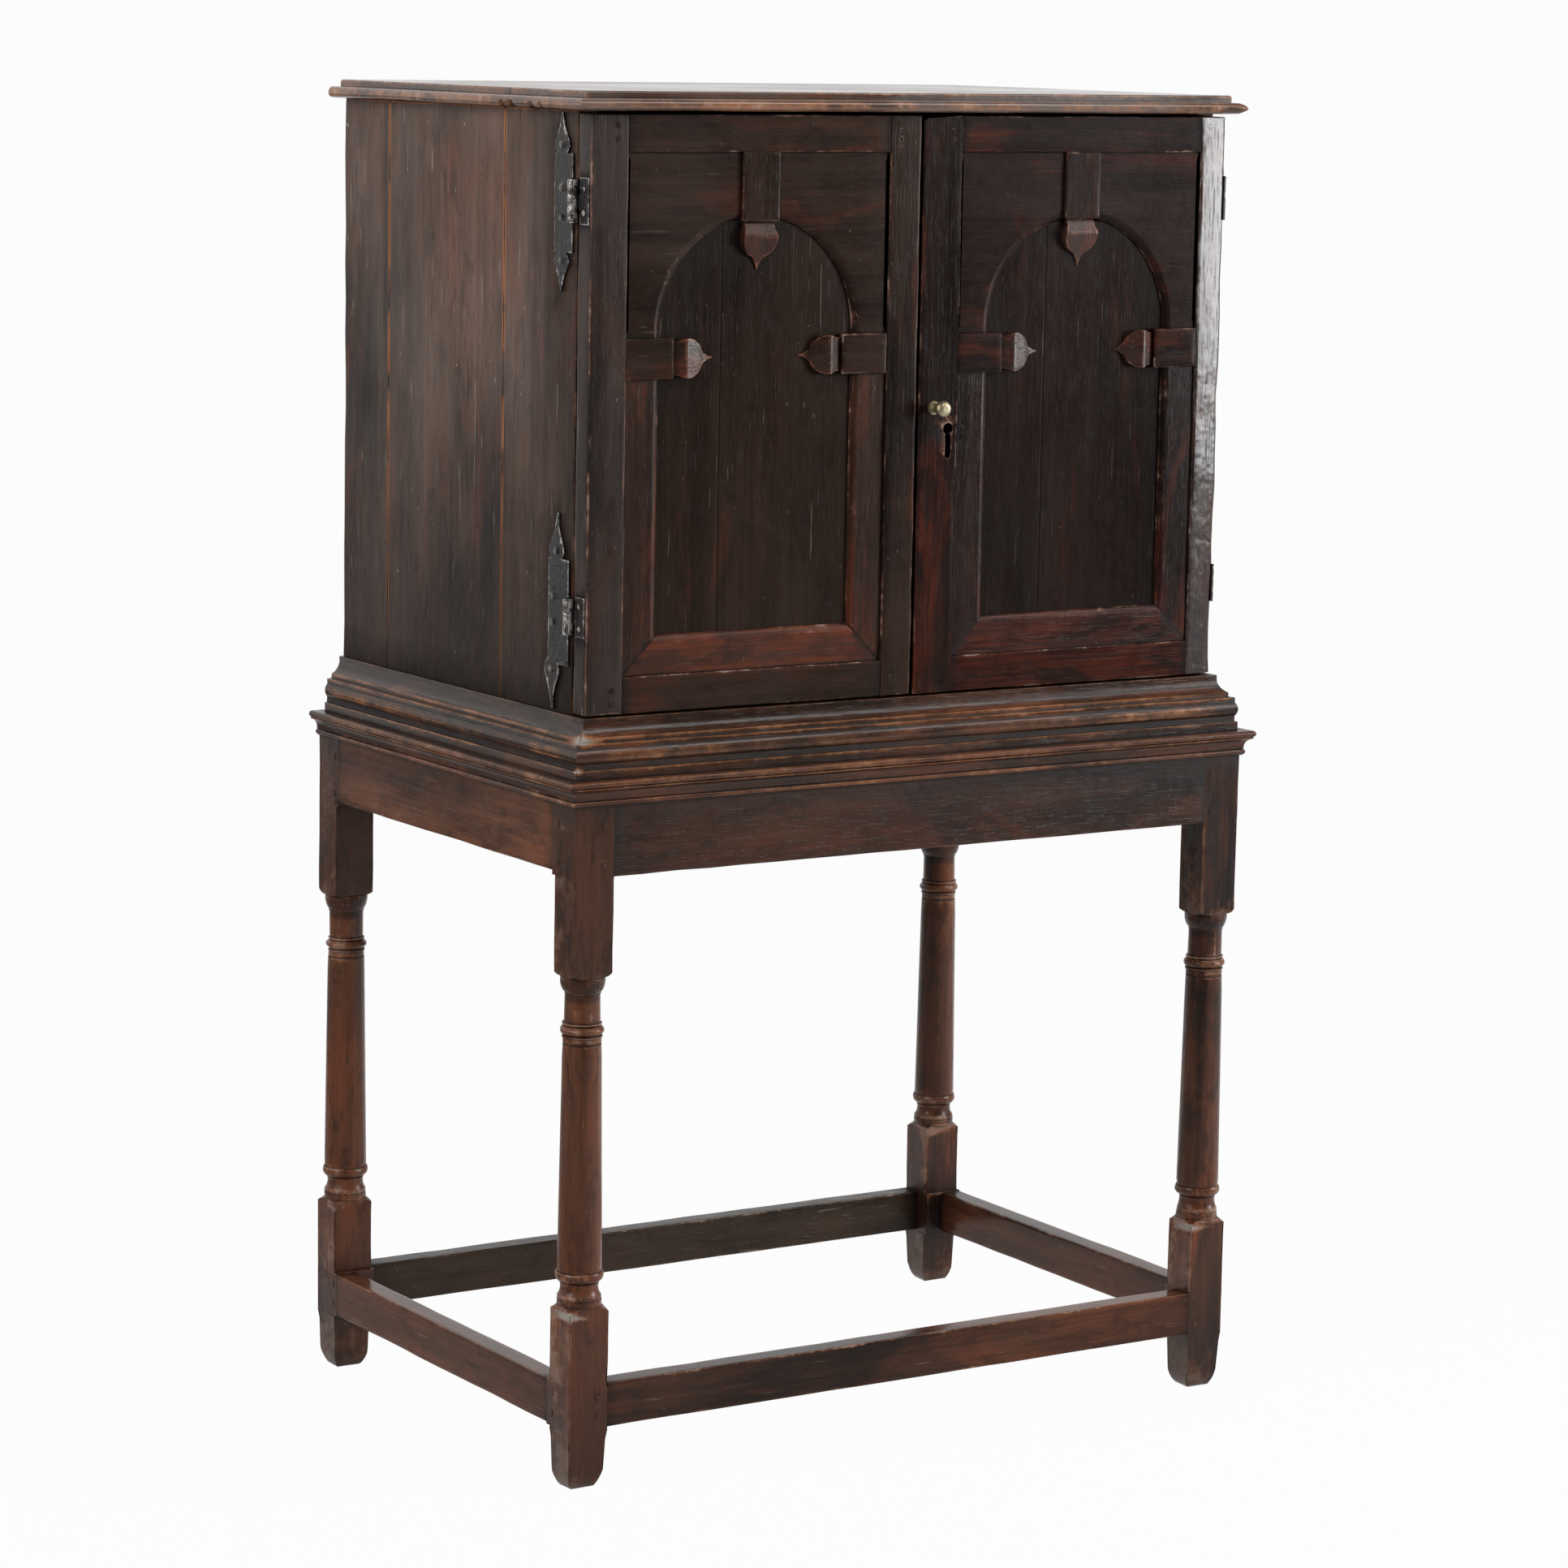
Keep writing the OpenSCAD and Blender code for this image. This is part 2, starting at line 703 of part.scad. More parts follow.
// Places (y, z) of the nails in the leaves on one side of the carcase
function case_leaf_nails() = [
    [pin_y + 26, upper_hinge_z + upper_leaf_up + 8],
    [pin_y + 26, upper_hinge_z + 11.5],
    [pin_y + 26, upper_hinge_z - 16.5],
    [pin_y + 26, upper_hinge_z - upper_leaf_down - 8],
    [pin_y + 29, lower_hinge_z + lower_leaf_up + 7],
    [pin_y + 35, lower_hinge_z + 16],
    [pin_y + 35, lower_hinge_z - 9],
    [pin_y + 37, lower_hinge_z - lower_leaf_down - 5]
];

module case_nails() {
    color(iron) {
        side_nails(0);
        on_side(LEFT) side_nails(0);
    }
}

// A side of the carcase on the right, as three boards with the housing for the
// bottom board, the rebate for the back and the nail holes
module side_boards() {
    front_end = case_y + side_front_w;
    back_start = back_y - side_back_w;
    ends = [[case_y, front_end - board_gap / 2], [front_end + board_gap / 2, back_start - board_gap / 2],
        [back_start + board_gap / 2, back_y]];
    difference() {
        for (e = ends) span([case_x - side_t, e[0], stand_h], [case_x, e[1], case_top_z]);
        span([case_x - side_t - 1, case_y - 1, plinth_top_z - bottom_t - joint_fit],
            [case_x - side_t + housing_d + joint_fit, back_y + 1, plinth_top_z]);
        span([case_x - side_t - 1, back_y - back_t, stand_h - 1],
            [case_x - side_t / 2, back_y + 1, case_top_z + 1]);
        side_nails(peg_fit);
    }
}

module side_left() { color(oak_dark) on_side(LEFT) side_boards(); }
module side_right() { color(oak_dark) side_boards(); }

module back_boards() {
    half = case_x - side_t / 2 - joint_fit;
    step = 2 * half / back_n;
    color(oak) for (i = [0 : back_n - 1]) {
        span([-half + i * step + board_gap / 2, back_y - back_t, stand_h],
            [-half + (i + 1) * step - board_gap / 2, back_y, case_top_z]);
    }
}

module bottom_board() {
    half = case_x - side_t + housing_d;
    color(oak) span([-half, case_y, plinth_top_z - bottom_t], [half, back_y - back_t, plinth_top_z]);
}

module shelf() {
    half = case_x - side_t - joint_fit;
    color(oak) span([-half, case_y + shelf_in, shelf_z],
        [half, back_y - back_t - joint_fit, shelf_z + shelf_t]);
}

module shelf_cleats() {
    outline = [[0, 0], [cleat_s, cleat_s * 0.4], [cleat_s, cleat_s], [0, cleat_s]];
    color(oak) for (side = [LEFT, RIGHT]) on_side(side)
        translate([case_x - side_t, back_y - back_t - 8, shelf_z - cleat_s]) rotate([90, 0, 0])
            linear_extrude(back_y - back_t - 8 - case_y - shelf_in - 12) mirror([1, 0, 0])
                polygon(outline);
}

// Outline of a moulded edge of the top, drawn as (outward, height below the top)
module top_edge_outline(out, back) {
    nose_r = nose_h / 2;
    translate([0, case_top_z]) {
        translate([-back, 0]) square([back + out - nose_r, nose_h]);
        translate([out - nose_r, nose_r]) circle(nose_r);
        translate([-back, 0]) square([back + out - step_in, top_t - 2]);
        translate([-back, 0]) square([back + out - step_in - 2, top_t]);
        translate([out - step_in - 2, top_t - 2]) circle(2);
    }
}

// The whole top, moulded on its front and both ends
module top_blank() {
    intersection() {
        translate([0, back_y, 0]) rotate([90, 0, 0]) linear_extrude(cab_d + 60) {
            top_edge_outline(case_x + top_side_out, 0);
            mirror([1, 0]) top_edge_outline(case_x + top_side_out, 0);
        }
        bar_x(door_y, BIG / 2) top_edge_outline(top_front_out, cab_d);
    }
}

module top_boards() {
    seam = door_y + top_front_w;
    color(oak) difference() {
        top_blank();
        span([-BIG, seam - board_gap / 2, case_top_z - 1], [BIG, seam + board_gap / 2, total_h + 1]);
        side_nails(peg_fit);
        on_side(LEFT) side_nails(peg_fit);
        slip_socket();
    }
}

// Doors: each is drawn on the right from its opening's edges, then mirrored

module door_pegs(x_in, x_out, fit) {
    far = door_peg_end + door_peg_step;
    for (x = [x_in - door_peg_in, x_out + door_peg_in],
            z = [door_top_z - door_peg_end, door_top_z - far, door_z + door_peg_end, door_z + far])
        rod_y(x, door_y - PROUD / 2, door_y + door_t - 4, z, door_peg_d / 2 + fit);
}

// Tongue of the panel in its groove, grown by the fit
module panel_edge(x_in, x_out, fit) {
    span([x_in - tongue - fit, door_y + panel_d + tongue_set - fit, opening_z - tongue - fit],
        [x_out + tongue + fit, door_y + panel_d + panel_t - 1 + fit, opening_top_z + tongue + fit]);
}

// Tenons of both rails, grown by the fit
module door_tenons(x_in, x_out, fit) {
    inset = 5;
    for (z = [[door_z + inset, opening_z - tongue - 1], [opening_top_z + tongue + 1, door_top_z - inset]])
        span([x_in - door_tenon_l - fit, door_y + 8 - fit, z[0] - fit],
            [x_out + door_tenon_l + fit, door_y + 16 + fit, z[1] + fit]);
}

module door_stile(x0, x1, x_in, x_out) {
    difference() {
        span([x0, door_y, door_z], [x1, door_back_y, door_top_z]);
        panel_edge(x_in, x_out, joint_fit);
        door_tenons(x_in, x_out, joint_fit);
        door_pegs(x_in, x_out, peg_fit);
    }
}

module door_rail(z0, z1, x_in, x_out) {
    difference() {
        union() {
            span([x_in, door_y, z0], [x_out, door_back_y, z1]);
            intersection() {
                door_tenons(x_in, x_out, 0);
                span([-BIG, door_y, z0], [BIG, door_back_y, z1]);
            }
        }
        panel_edge(x_in, x_out, joint_fit);
        door_pegs(x_in, x_out, peg_fit);
    }
}

// A panel of two boards with a thin tongue all round
module door_panel(x_in, x_out, joint_x) {
    difference() {
        union() {
            span([x_in, door_y + panel_d, opening_z], [x_out, door_y + panel_d + panel_t, opening_top_z]);
            panel_edge(x_in, x_out, 0);
        }
        span([joint_x - board_gap / 2, door_y, 0], [joint_x + board_gap / 2, door_back_y, BIG]);
    }
}

// Outline of the mouldings' section, drawn as (inward, up from the panel)
module mould_section() {
    quirk = 1.2;
    drop = arcade_t - quirk;
    round_r = (ovolo_w * ovolo_w + drop * drop) / (2 * drop);
    square([mould_w, arcade_t]);
    intersection() {
        translate([mould_w, arcade_t - round_r]) circle(round_r);
        translate([mould_w, 0]) square([ovolo_w, arcade_t]);
    }
}

// Radius of the arch at its moulded edge
function arch_r(x_in, x_out) = (x_out - x_in) / 2 - mould_w;

// Height of the arch's centre, from its crown's distance below the top rail
function arch_z(x_in, x_out, crown) = opening_top_z - crown - arch_r(x_in, x_out);

// Height of the impost blocks' underside
function impost_z(x_in, x_out, crown) = arch_z(x_in, x_out, crown) - arch_stilt - impost_h;

// Footprint of the blocks, drawn as (x, z)
module block_plan(x_in, x_out, crown) {
    mid = (x_in + x_out) / 2;
    low = impost_z(x_in, x_out, crown);
    translate([mid - key_w / 2, opening_top_z - key_l]) square([key_w, key_l]);
    translate([x_in, low]) square([impost_l, impost_h]);
    translate([x_out - impost_l, low]) square([impost_l, impost_h]);
}

// Spandrels over the arch: flat boards with a rounded edge to the arch
module door_spandrel(x_in, x_out, crown) {
    mid = (x_in + x_out) / 2;
    radius = arch_r(x_in, x_out);
    centre_z = arch_z(x_in, x_out, crown);
    low = centre_z - arch_stilt;
    difference() {
        union() {
            door_plate(arcade_d, panel_d) difference() {
                translate([x_in, low]) square([x_out - x_in, opening_top_z - low]);
                translate([mid, centre_z]) circle(radius);
                translate([mid - radius, low - 1]) square([2 * radius, arch_stilt + 1]);
            }
            translate([mid, door_y + panel_d, centre_z]) rotate([90, 0, 0]) intersection() {
                rotate_extrude() translate([radius + mould_w, 0]) mirror([1, 0]) mould_section();
                translate([-BIG / 2, 0, 0]) cube([BIG, opening_top_z - centre_z, arcade_t]);
                translate([mid - x_out, 0, 0]) cube([x_out - x_in, BIG, arcade_t]);
            }
            for (turn = [0, 1]) translate([mid, 0, 0]) mirror([turn, 0, 0])
                translate([x_in - mid, door_y + panel_d, low]) linear_extrude(arch_stilt)
                    mirror([0, 1]) mould_section();
        }
        door_plate(arcade_d - 1, panel_d + 1) block_plan(x_in, x_out, crown);
    }
}

// Mouldings beside and below the panel, mitred at the corners
module door_mouldings(x_in, x_out, crown) {
    mid = (x_in + x_out) / 2;
    wide = x_out - x_in;
    for (turn = [0, 1]) translate([mid, 0, 0]) mirror([turn, 0, 0]) translate([-mid, 0, 0])
        intersection() {
            translate([x_in, door_y + panel_d, opening_z])
                linear_extrude(impost_z(x_in, x_out, crown) - opening_z) mirror([0, 1]) mould_section();
            door_plate(arcade_d - 1, panel_d + 1) translate([x_in, opening_z])
                polygon([[0, board_gap], [wide, wide + board_gap], [wide, BIG], [0, BIG]]);
        }
    intersection() {
        translate([x_in, door_y + panel_d, opening_z]) rotate([90, 0, 90]) linear_extrude(wide)
            rotate([0, 0, 90]) mould_section();
        door_plate(arcade_d - 1, panel_d + 1) translate([x_in, opening_z])
            polygon([[0, 0], [wide, 0], [wide / 2, wide / 2]]);
    }
}

module door_blocks(x_in, x_out, crown) {
    door_plate(panel_d - block_t, panel_d) block_plan(x_in, x_out, crown);
}

// Plan of a carved drop that points along +X from the origin
module drop_plan() {
    round_r = drop_w / 2;
    translate([0.5, 0]) intersection() {
        translate([round_r - 3, 0]) circle(round_r);
        translate([0, -drop_w]) square([BIG, 2 * drop_w]);
    }
    translate([0.5, 2.5 - round_r]) square([round_r - 3, drop_w - 5]);
    difference() {
        translate([24, 0]) polygon([[0, -17], [drop_l - 24, -0.6], [drop_l - 24, 0.6], [0, 17]]);
        for (side = [LEFT, RIGHT]) translate([drop_l + 2, side * 21.6]) circle(21);
    }
}

// Side outline of a carved drop: it rises to a ridge and falls to its point
module drop_side() {
    ridge = drop_l * 0.3;
    polygon([[0.5, 0], [0.5, drop_t * 0.45], [ridge - 1, drop_t], [ridge + 1, drop_t],
        [drop_l * 0.62, drop_t * 0.56], [drop_l * 0.8, drop_t * 0.25], [drop_l, drop_t * 0.12],
        [drop_l, 0]]);
}

// A carved drop on the panel, from the middle of a block's end
module carved_drop(x, z, turn) {
    translate([x, door_y + panel_d, z]) rotate([90, 0, 0]) rotate([0, 0, turn]) intersection() {
        linear_extrude(drop_t + 1) drop_plan();
        translate([0, drop_w, 0]) rotate([90, 0, 0]) linear_extrude(2 * drop_w) drop_side();
    }
}

module door_drops(x_in, x_out, crown) {
    mid_z = impost_z(x_in, x_out, crown) + impost_h / 2;
    carved_drop((x_in + x_out) / 2, opening_top_z - key_l, -90);
    carved_drop(x_in + impost_l, mid_z, 0);
    carved_drop(x_out - impost_l, mid_z, 180);
}

module left_hinge_stile() {
    color(oak_dark) on_side(LEFT) difference() {
        door_stile(left_out, case_x, left_in, left_out);
        door_leaf_nails(peg_fit);
        door_leaf_seats();
    }
}
module left_meeting_stile() {
    color(oak_dark) on_side(LEFT) difference() {
        door_stile(door_gap / 2, left_in, left_in, left_out);
        all_prongs(joint_fit);
    }
}
module left_top_rail() {
    color(oak_dark) on_side(LEFT) door_rail(opening_top_z, door_top_z, left_in, left_out);
}
module left_bottom_rail() {
    color(oak_dark) on_side(LEFT) door_rail(door_z, opening_z, left_in, left_out);
}
module left_panel() {
    color(oak_dark) on_side(LEFT) door_panel(left_in, left_out, left_out - panel_narrow_w);
}
module left_spandrel() { color(oak) on_side(LEFT) door_spandrel(left_in, left_out, left_crown_down); }
module left_mouldings() { color(oak_red) on_side(LEFT) door_mouldings(left_in, left_out, left_crown_down); }
module left_blocks() { color(oak_dark) on_side(LEFT) door_blocks(left_in, left_out, left_crown_down); }
module left_drops() { color(oak_red) on_side(LEFT) door_drops(left_in, left_out, left_crown_down); }
module left_door_pegs() { color(oak_pale) on_side(LEFT) door_pegs(left_in, left_out, 0); }

module right_hinge_stile() {
    color(oak) difference() {
        door_stile(right_out, case_x, right_in, right_out);
        door_leaf_nails(peg_fit);
        door_leaf_seats();
    }
}
module right_meeting_stile() {
    color(oak_red) difference() {
        door_stile(door_gap / 2, right_in, right_in, right_out);
        keyhole(door_y - 1, door_back_y + 1);
        knob_tang(peg_fit);
        lock_nails(peg_fit);
    }
}
module right_top_rail() { color(oak_red) door_rail(opening_top_z, door_top_z, right_in, right_out); }
module right_bottom_rail() { color(oak) door_rail(door_z, opening_z, right_in, right_out); }
module right_panel() { color(oak_dark) door_panel(right_in, right_out, right_in + panel_narrow_w); }
module right_spandrel() { color(oak_red) door_spandrel(right_in, right_out, right_crown_down); }
module right_mouldings() { color(oak_red) door_mouldings(right_in, right_out, right_crown_down); }
module right_blocks() { color(oak) door_blocks(right_in, right_out, right_crown_down); }
module right_drops() { color(oak_red) door_drops(right_in, right_out, right_crown_down); }
module right_door_pegs() { color(oak_pale) door_pegs(right_in, right_out, 0); }

// Lock, bolts and knob

// Keyhole: a round part over a slot with a round end
module keyhole(y0, y1) {
    rod_y(keyhole_x, y0, y1, keyhole_z, keyhole_r);
    span([keyhole_x - keyhole_slot_w / 2, y0, keyhole_z - keyhole_l + keyhole_slot_w / 2],
        [keyhole_x + keyhole_slot_w / 2, y1, keyhole_z]);
    rod_y(keyhole_x, y0, y1, keyhole_z - keyhole_l + keyhole_slot_w / 2, keyhole_slot_w / 2);
}

// Nails that hold the lock, driven through it into the stile
module lock_nails(fit) {
    y1 = door_back_y + lock_t;
    for (x = [lock_x + 6, lock_x + 35], z = [lock_z + 8, lock_z + lock_h - 8]) {
        rod_y(x, door_back_y - 10, y1 + 0.6, z, nail_r + fit);
        if (fit == 0) rod_y(x, y1, y1 + 1.2, z, nail_head_r - 0.4);
    }
}

module lock_case() {
    y0 = door_back_y;
    y1 = door_back_y + lock_t;
    color(iron) {
        difference() {
            span([lock_x, y0, lock_z], [lock_x + lock_w, y1, lock_z + lock_h]);
            span([lock_x + lock_wall, y0 + lock_wall, lock_z + lock_wall],
                [lock_x + lock_w - lock_wall, y1 - lock_wall, lock_z + lock_h - lock_wall]);
            span([lock_x - 1, lock_bolt_y - slide_fit, lock_bolt_z - slide_fit],
                [lock_x + lock_wall + 1, lock_bolt_y + lock_bolt_t + slide_fit,
                    lock_bolt_z + lock_bolt_h + slide_fit]);
            keyhole(y0 - 1, y0 + lock_wall + 1);
            lock_nails(peg_fit);
        }
        rod_y(keyhole_x, door_y + 9, y1, keyhole_z, key_pin_r);
        lock_nails(0);
    }
}

module lock_bolt() {
    talon = 5;
    color(iron) difference() {
        span([lock_x, lock_bolt_y, lock_bolt_z],
            [lock_x + lock_bolt_l, lock_bolt_y + lock_bolt_t, lock_bolt_z + lock_bolt_h]);
        span([lock_x + lock_bolt_l - 2 * talon, lock_bolt_y - 1, lock_bolt_z - 1],
            [lock_x + lock_bolt_l - talon, lock_bolt_y + lock_bolt_t + 1, lock_bolt_z + talon - 1]);
    }
}

// Prongs of one driven staple on the left door's inner face, round a bar of
// the given width that runs across or upright
module staple_prongs(x, z, across, over, along_z, fit) {
    near = across / 2 - fit;
    far = across / 2 + staple_t + fit;
    wide = staple_w / 2 + fit;
    y0 = door_back_y - staple_in - fit;
    y1 = door_back_y + over + staple_t;
    for (s = [-1, 1]) {
        if (along_z) {
            span([x - wide, y0, z + min(s * near, s * far)], [x + wide, y1, z + max(s * near, s * far)]);
        } else {
            span([x + min(s * near, s * far), y0, z - wide], [x + max(s * near, s * far), y1, z + wide]);
        }
    }
}

// Prongs of all staples, grown by the fit for their holes
module all_prongs(fit) {
    staple_prongs(lock_staple_x, lock_bolt_z + lock_bolt_h / 2, lock_staple_gap, lock_staple_over, true, fit);
    for (up = slip_staple_ups)
        staple_prongs(slip_x, slip_z + up, slip_bolt_w + 2 * slide_fit, slip_t + 2 * slide_fit, false, fit);
}

module door_staples() {
    half = lock_staple_gap / 2;
    over = door_back_y + lock_staple_over;
    mid = lock_bolt_z + lock_bolt_h / 2;
    slip_half = slip_bolt_w / 2 + slide_fit;
    slip_over = door_back_y + slip_t + 2 * slide_fit;
    color(iron) on_side(LEFT) {
        all_prongs(0);
        span([lock_staple_x - staple_w / 2, over, mid - half],
            [lock_staple_x + staple_w / 2, over + staple_t, mid + half]);
        for (up = slip_staple_ups) span([slip_x - slip_half, slip_over, slip_z + up - staple_w / 2],
            [slip_x + slip_half, slip_over + staple_t, slip_z + up + staple_w / 2]);
    }
}

// Flat bolt on the left door's inner face with a round grip
module slip_bolt() {
    y0 = door_back_y + slide_fit;
    color(iron) on_side(LEFT) {
        span([slip_x - slip_bolt_w / 2, y0, slip_z],
            [slip_x + slip_bolt_w / 2, y0 + slip_t, slip_z + slip_bolt_l]);
        rod_y(slip_x, y0 + slip_t - 1, y0 + slip_t + 7, slip_z + slip_grip_up, 2.4);
        rod_y(slip_x, y0 + slip_t + 4, y0 + slip_t + 8, slip_z + slip_grip_up, 4);
    }
}

// Socket for that bolt in the underside of the top
module slip_socket() {
    half = slip_bolt_w / 2 + socket_fit;
    y0 = door_back_y + slide_fit - socket_fit;
    on_side(LEFT) span([slip_x - half, y0, case_top_z - 1],
        [slip_x + half, y0 + slip_t + 2 * socket_fit, case_top_z + socket_deep]);
}

// Tang of the knob in the stile, grown by the fit for its hole
module knob_tang(fit) {
    rod_y(knob_x, door_y - (fit > 0 ? 1 : 0), door_y + 17, knob_z, 2.2 + fit);
}

module knob() {
    head_r = 5.7;
    color(brass) {
        knob_tang(0);
        translate([knob_x, door_y, knob_z]) rotate([90, 0, 0]) rotate_extrude() {
            square([rose_d / 2, 1.4]);
            square([rose_d / 2 - 1.2, 2.6]);
            difference() {
                square([5.4, knob_p - head_r]);
                translate([9.8, 7.4]) circle(6.8);
            }
            translate([0, knob_p - 2 * head_r]) square([knob_d / 2 - head_r, 2 * head_r]);
            intersection() {
                translate([knob_d / 2 - head_r, knob_p - head_r]) circle(head_r);
                translate([knob_d / 2 - head_r, 0]) square([knob_d, knob_p]);
            }
        }
    }
}

// Hinges, drawn on the right

// Heights [low, high] of knuckle k of three, counted from below
function knuckle_span(z, h, k) = let (one = (h - 2 * knuckle_gap) / 3)
    [z - h / 2 + k * (one + knuckle_gap), z - h / 2 + k * (one + knuckle_gap) + one];

// A knuckle with its web to a leaf that lies towards +Y (way 1) or -Y (way -1)
module knuckle(k_span, way) {
    y_far = pin_y + way * (leaf_clear + 0.5);
    translate([pin_x, pin_y, k_span[0]]) cylinder(h = k_span[1] - k_span[0], r = knuckle_r);
    span([case_x, min(pin_y, y_far), k_span[0]],
        [case_x + leaf_t - leaf_let / 2, max(pin_y, y_far), k_span[1]]);
}

// Plate on the carcase side, its outline drawn as (y, z)
module side_plate(x, t) {
    translate([x, 0, 0]) rotate([90, 0, 90]) linear_extrude(t) children();
}

// Leaf-shaped end of a hinge leaf round its nail, its bent tip l away
module finial(l, bend) {
    half = [[0.5, -9], [0.82, -5.5], [1, -1], [0.97, 3], [0.84, 0.2 * l], [0.6, 0.36 * l],
        [0.36, 0.54 * l], [0.2, 0.74 * l], [0.1, l - 1]];
    lean = function (z) bend * pow(max(z, 0) / l, 2);
    polygon([
        for (p = half) [lean(p[1]) - finial_r * p[0], p[1]],
        [bend, l],
        for (k = [len(half) - 1:-1:0]) [lean(half[k][1]) + finial_r * half[k][0], half[k][1]]
    ]);
}

// One leaf on the carcase with two finials and the outer two knuckles
module case_leaf(z, up, down, wide, h, nails, tips, bend) {
    difference() {
        union() {
            side_plate(case_x, leaf_t) {
                translate([pin_y + leaf_clear, z - down]) square([wide - leaf_clear, up + down]);
                translate(nails[0]) finial(tips[0], bend);
                translate(nails[1]) mirror([0, 1]) finial(tips[1], bend);
            }
            knuckle(knuckle_span(z, h, 0), 1);
            knuckle(knuckle_span(z, h, 2), 1);
        }
        translate([pin_x, pin_y, z - h]) cylinder(h = 2 * h, r = pin_r + peg_fit);
    }
}

module case_leaves() {
    nails = case_leaf_nails();
    difference() {
        union() {
            case_leaf(upper_hinge_z, upper_leaf_up, upper_leaf_down, upper_leaf_w, upper_knuckle_h,
                [nails[0], nails[3]], [30.5, 29], 1);
            case_leaf(lower_hinge_z, lower_leaf_up, lower_leaf_down, lower_leaf_w, lower_knuckle_h,
                [nails[4], nails[7]], [37, 39], -2);
        }
        side_nails(peg_fit);
    }
}

// Nails through the door leaves into the edge of the stile
module door_leaf_nails(fit) {
    face = case_x - leaf_let + leaf_t;
    for (z = [upper_hinge_z, lower_hinge_z], up = [-11, 11]) {
        rod_x(case_x - 14, face + 0.4, pin_y - 14, z + up, nail_r + fit);
        if (fit == 0) rod_x(face, face + 0.9, pin_y - 14, z + up, nail_head_r - 0.6);
    }
}

// Plate of the door leaf, grown by the fit for its recess in the stile
module door_leaf_plate(z, h, fit) {
    half = h / 2 + 2 + fit;
    span([case_x - leaf_let - fit, pin_y - 2 - door_leaf_w - fit, z - half],
        [case_x - leaf_let + leaf_t, pin_y - leaf_clear + fit, z + half]);
}

module door_leaf_seats() {
    door_leaf_plate(upper_hinge_z, upper_knuckle_h, joint_fit);
    door_leaf_plate(lower_hinge_z, lower_knuckle_h, joint_fit);
}

module door_leaf(z, h) {
    difference() {
        union() {
            door_leaf_plate(z, h, 0);
            knuckle(knuckle_span(z, h, 1), -1);
        }
        translate([pin_x, pin_y, z - h]) cylinder(h = 2 * h, r = pin_r + pin_fit);
    }
}

module door_leaves() {
    difference() {
        union() {
            door_leaf(upper_hinge_z, upper_knuckle_h);
            door_leaf(lower_hinge_z, lower_knuckle_h);
        }
        door_leaf_nails(peg_fit);
    }
    door_leaf_nails(0);
}

// A hinge pin with a head on the top knuckle and a riveted lower end
module hinge_pin(z, h) {
    translate([pin_x, pin_y, z - h / 2 - 1]) cylinder(h = h + 2, r = pin_r);
    translate([pin_x, pin_y, z + h / 2]) cylinder(h = pin_head_h, r = pin_r + 1.4);
    translate([pin_x, pin_y, z - h / 2 - 1]) cylinder(h = 1, r = pin_r + 0.8);
}

module hinge_pins() {
    hinge_pin(upper_hinge_z, upper_knuckle_h);
    hinge_pin(lower_hinge_z, lower_knuckle_h);
}

module left_case_leaves() { color(iron) on_side(LEFT) case_leaves(); }
module left_door_leaves() { color(iron) on_side(LEFT) door_leaves(); }
module left_hinge_pins() { color(iron) on_side(LEFT) hinge_pins(); }
module right_case_leaves() { color(iron) case_leaves(); }
module right_door_leaves() { color(iron) door_leaves(); }
module right_hinge_pins() { color(iron) hinge_pins(); }

// What is shown

leg_front_left();
leg_front_right();
leg_back_left();
leg_back_right();
rail_front();
rail_back();
rail_left();
rail_right();
stretcher_front();
stretcher_back();
stretcher_left();
stretcher_right();
stand_pegs();
stand_moulding_front();
stand_moulding_left();
stand_moulding_right();
plinth_front();
base_moulding_front();
base_moulding_left();
base_moulding_right();
side_left();
side_right();
back_boards();
bottom_board();
shelf();
shelf_cleats();
top_boards();
case_nails();
left_hinge_stile();
left_meeting_stile();
left_top_rail();
left_bottom_rail();
left_panel();
left_spandrel();
left_mouldings();
left_blocks();
left_drops();
left_door_pegs();
right_hinge_stile();
right_meeting_stile();
right_top_rail();
right_bottom_rail();
right_panel();
right_spandrel();
right_mouldings();
right_blocks();
right_drops();
right_door_pegs();
knob();
lock_case();
lock_bolt();
slip_bolt();
door_staples();
left_case_leaves();
left_door_leaves();
left_hinge_pins();
right_case_leaves();
right_door_leaves();
right_hinge_pins();
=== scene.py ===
"""Oak cabinet on a turned stand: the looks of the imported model.

Each sub-assembly is a class that takes its solids from the frame, works their
edges as long use has, and dresses them with its own finish.
"""
import json
import logging
import math
from dataclasses import dataclass, replace
from enum import Enum
from functools import cache
from typing import Callable, Optional, Union

import bmesh
import bpy
from mathutils import Matrix, Vector, kdtree, noise
from mathutils.bvhtree import BVHTree

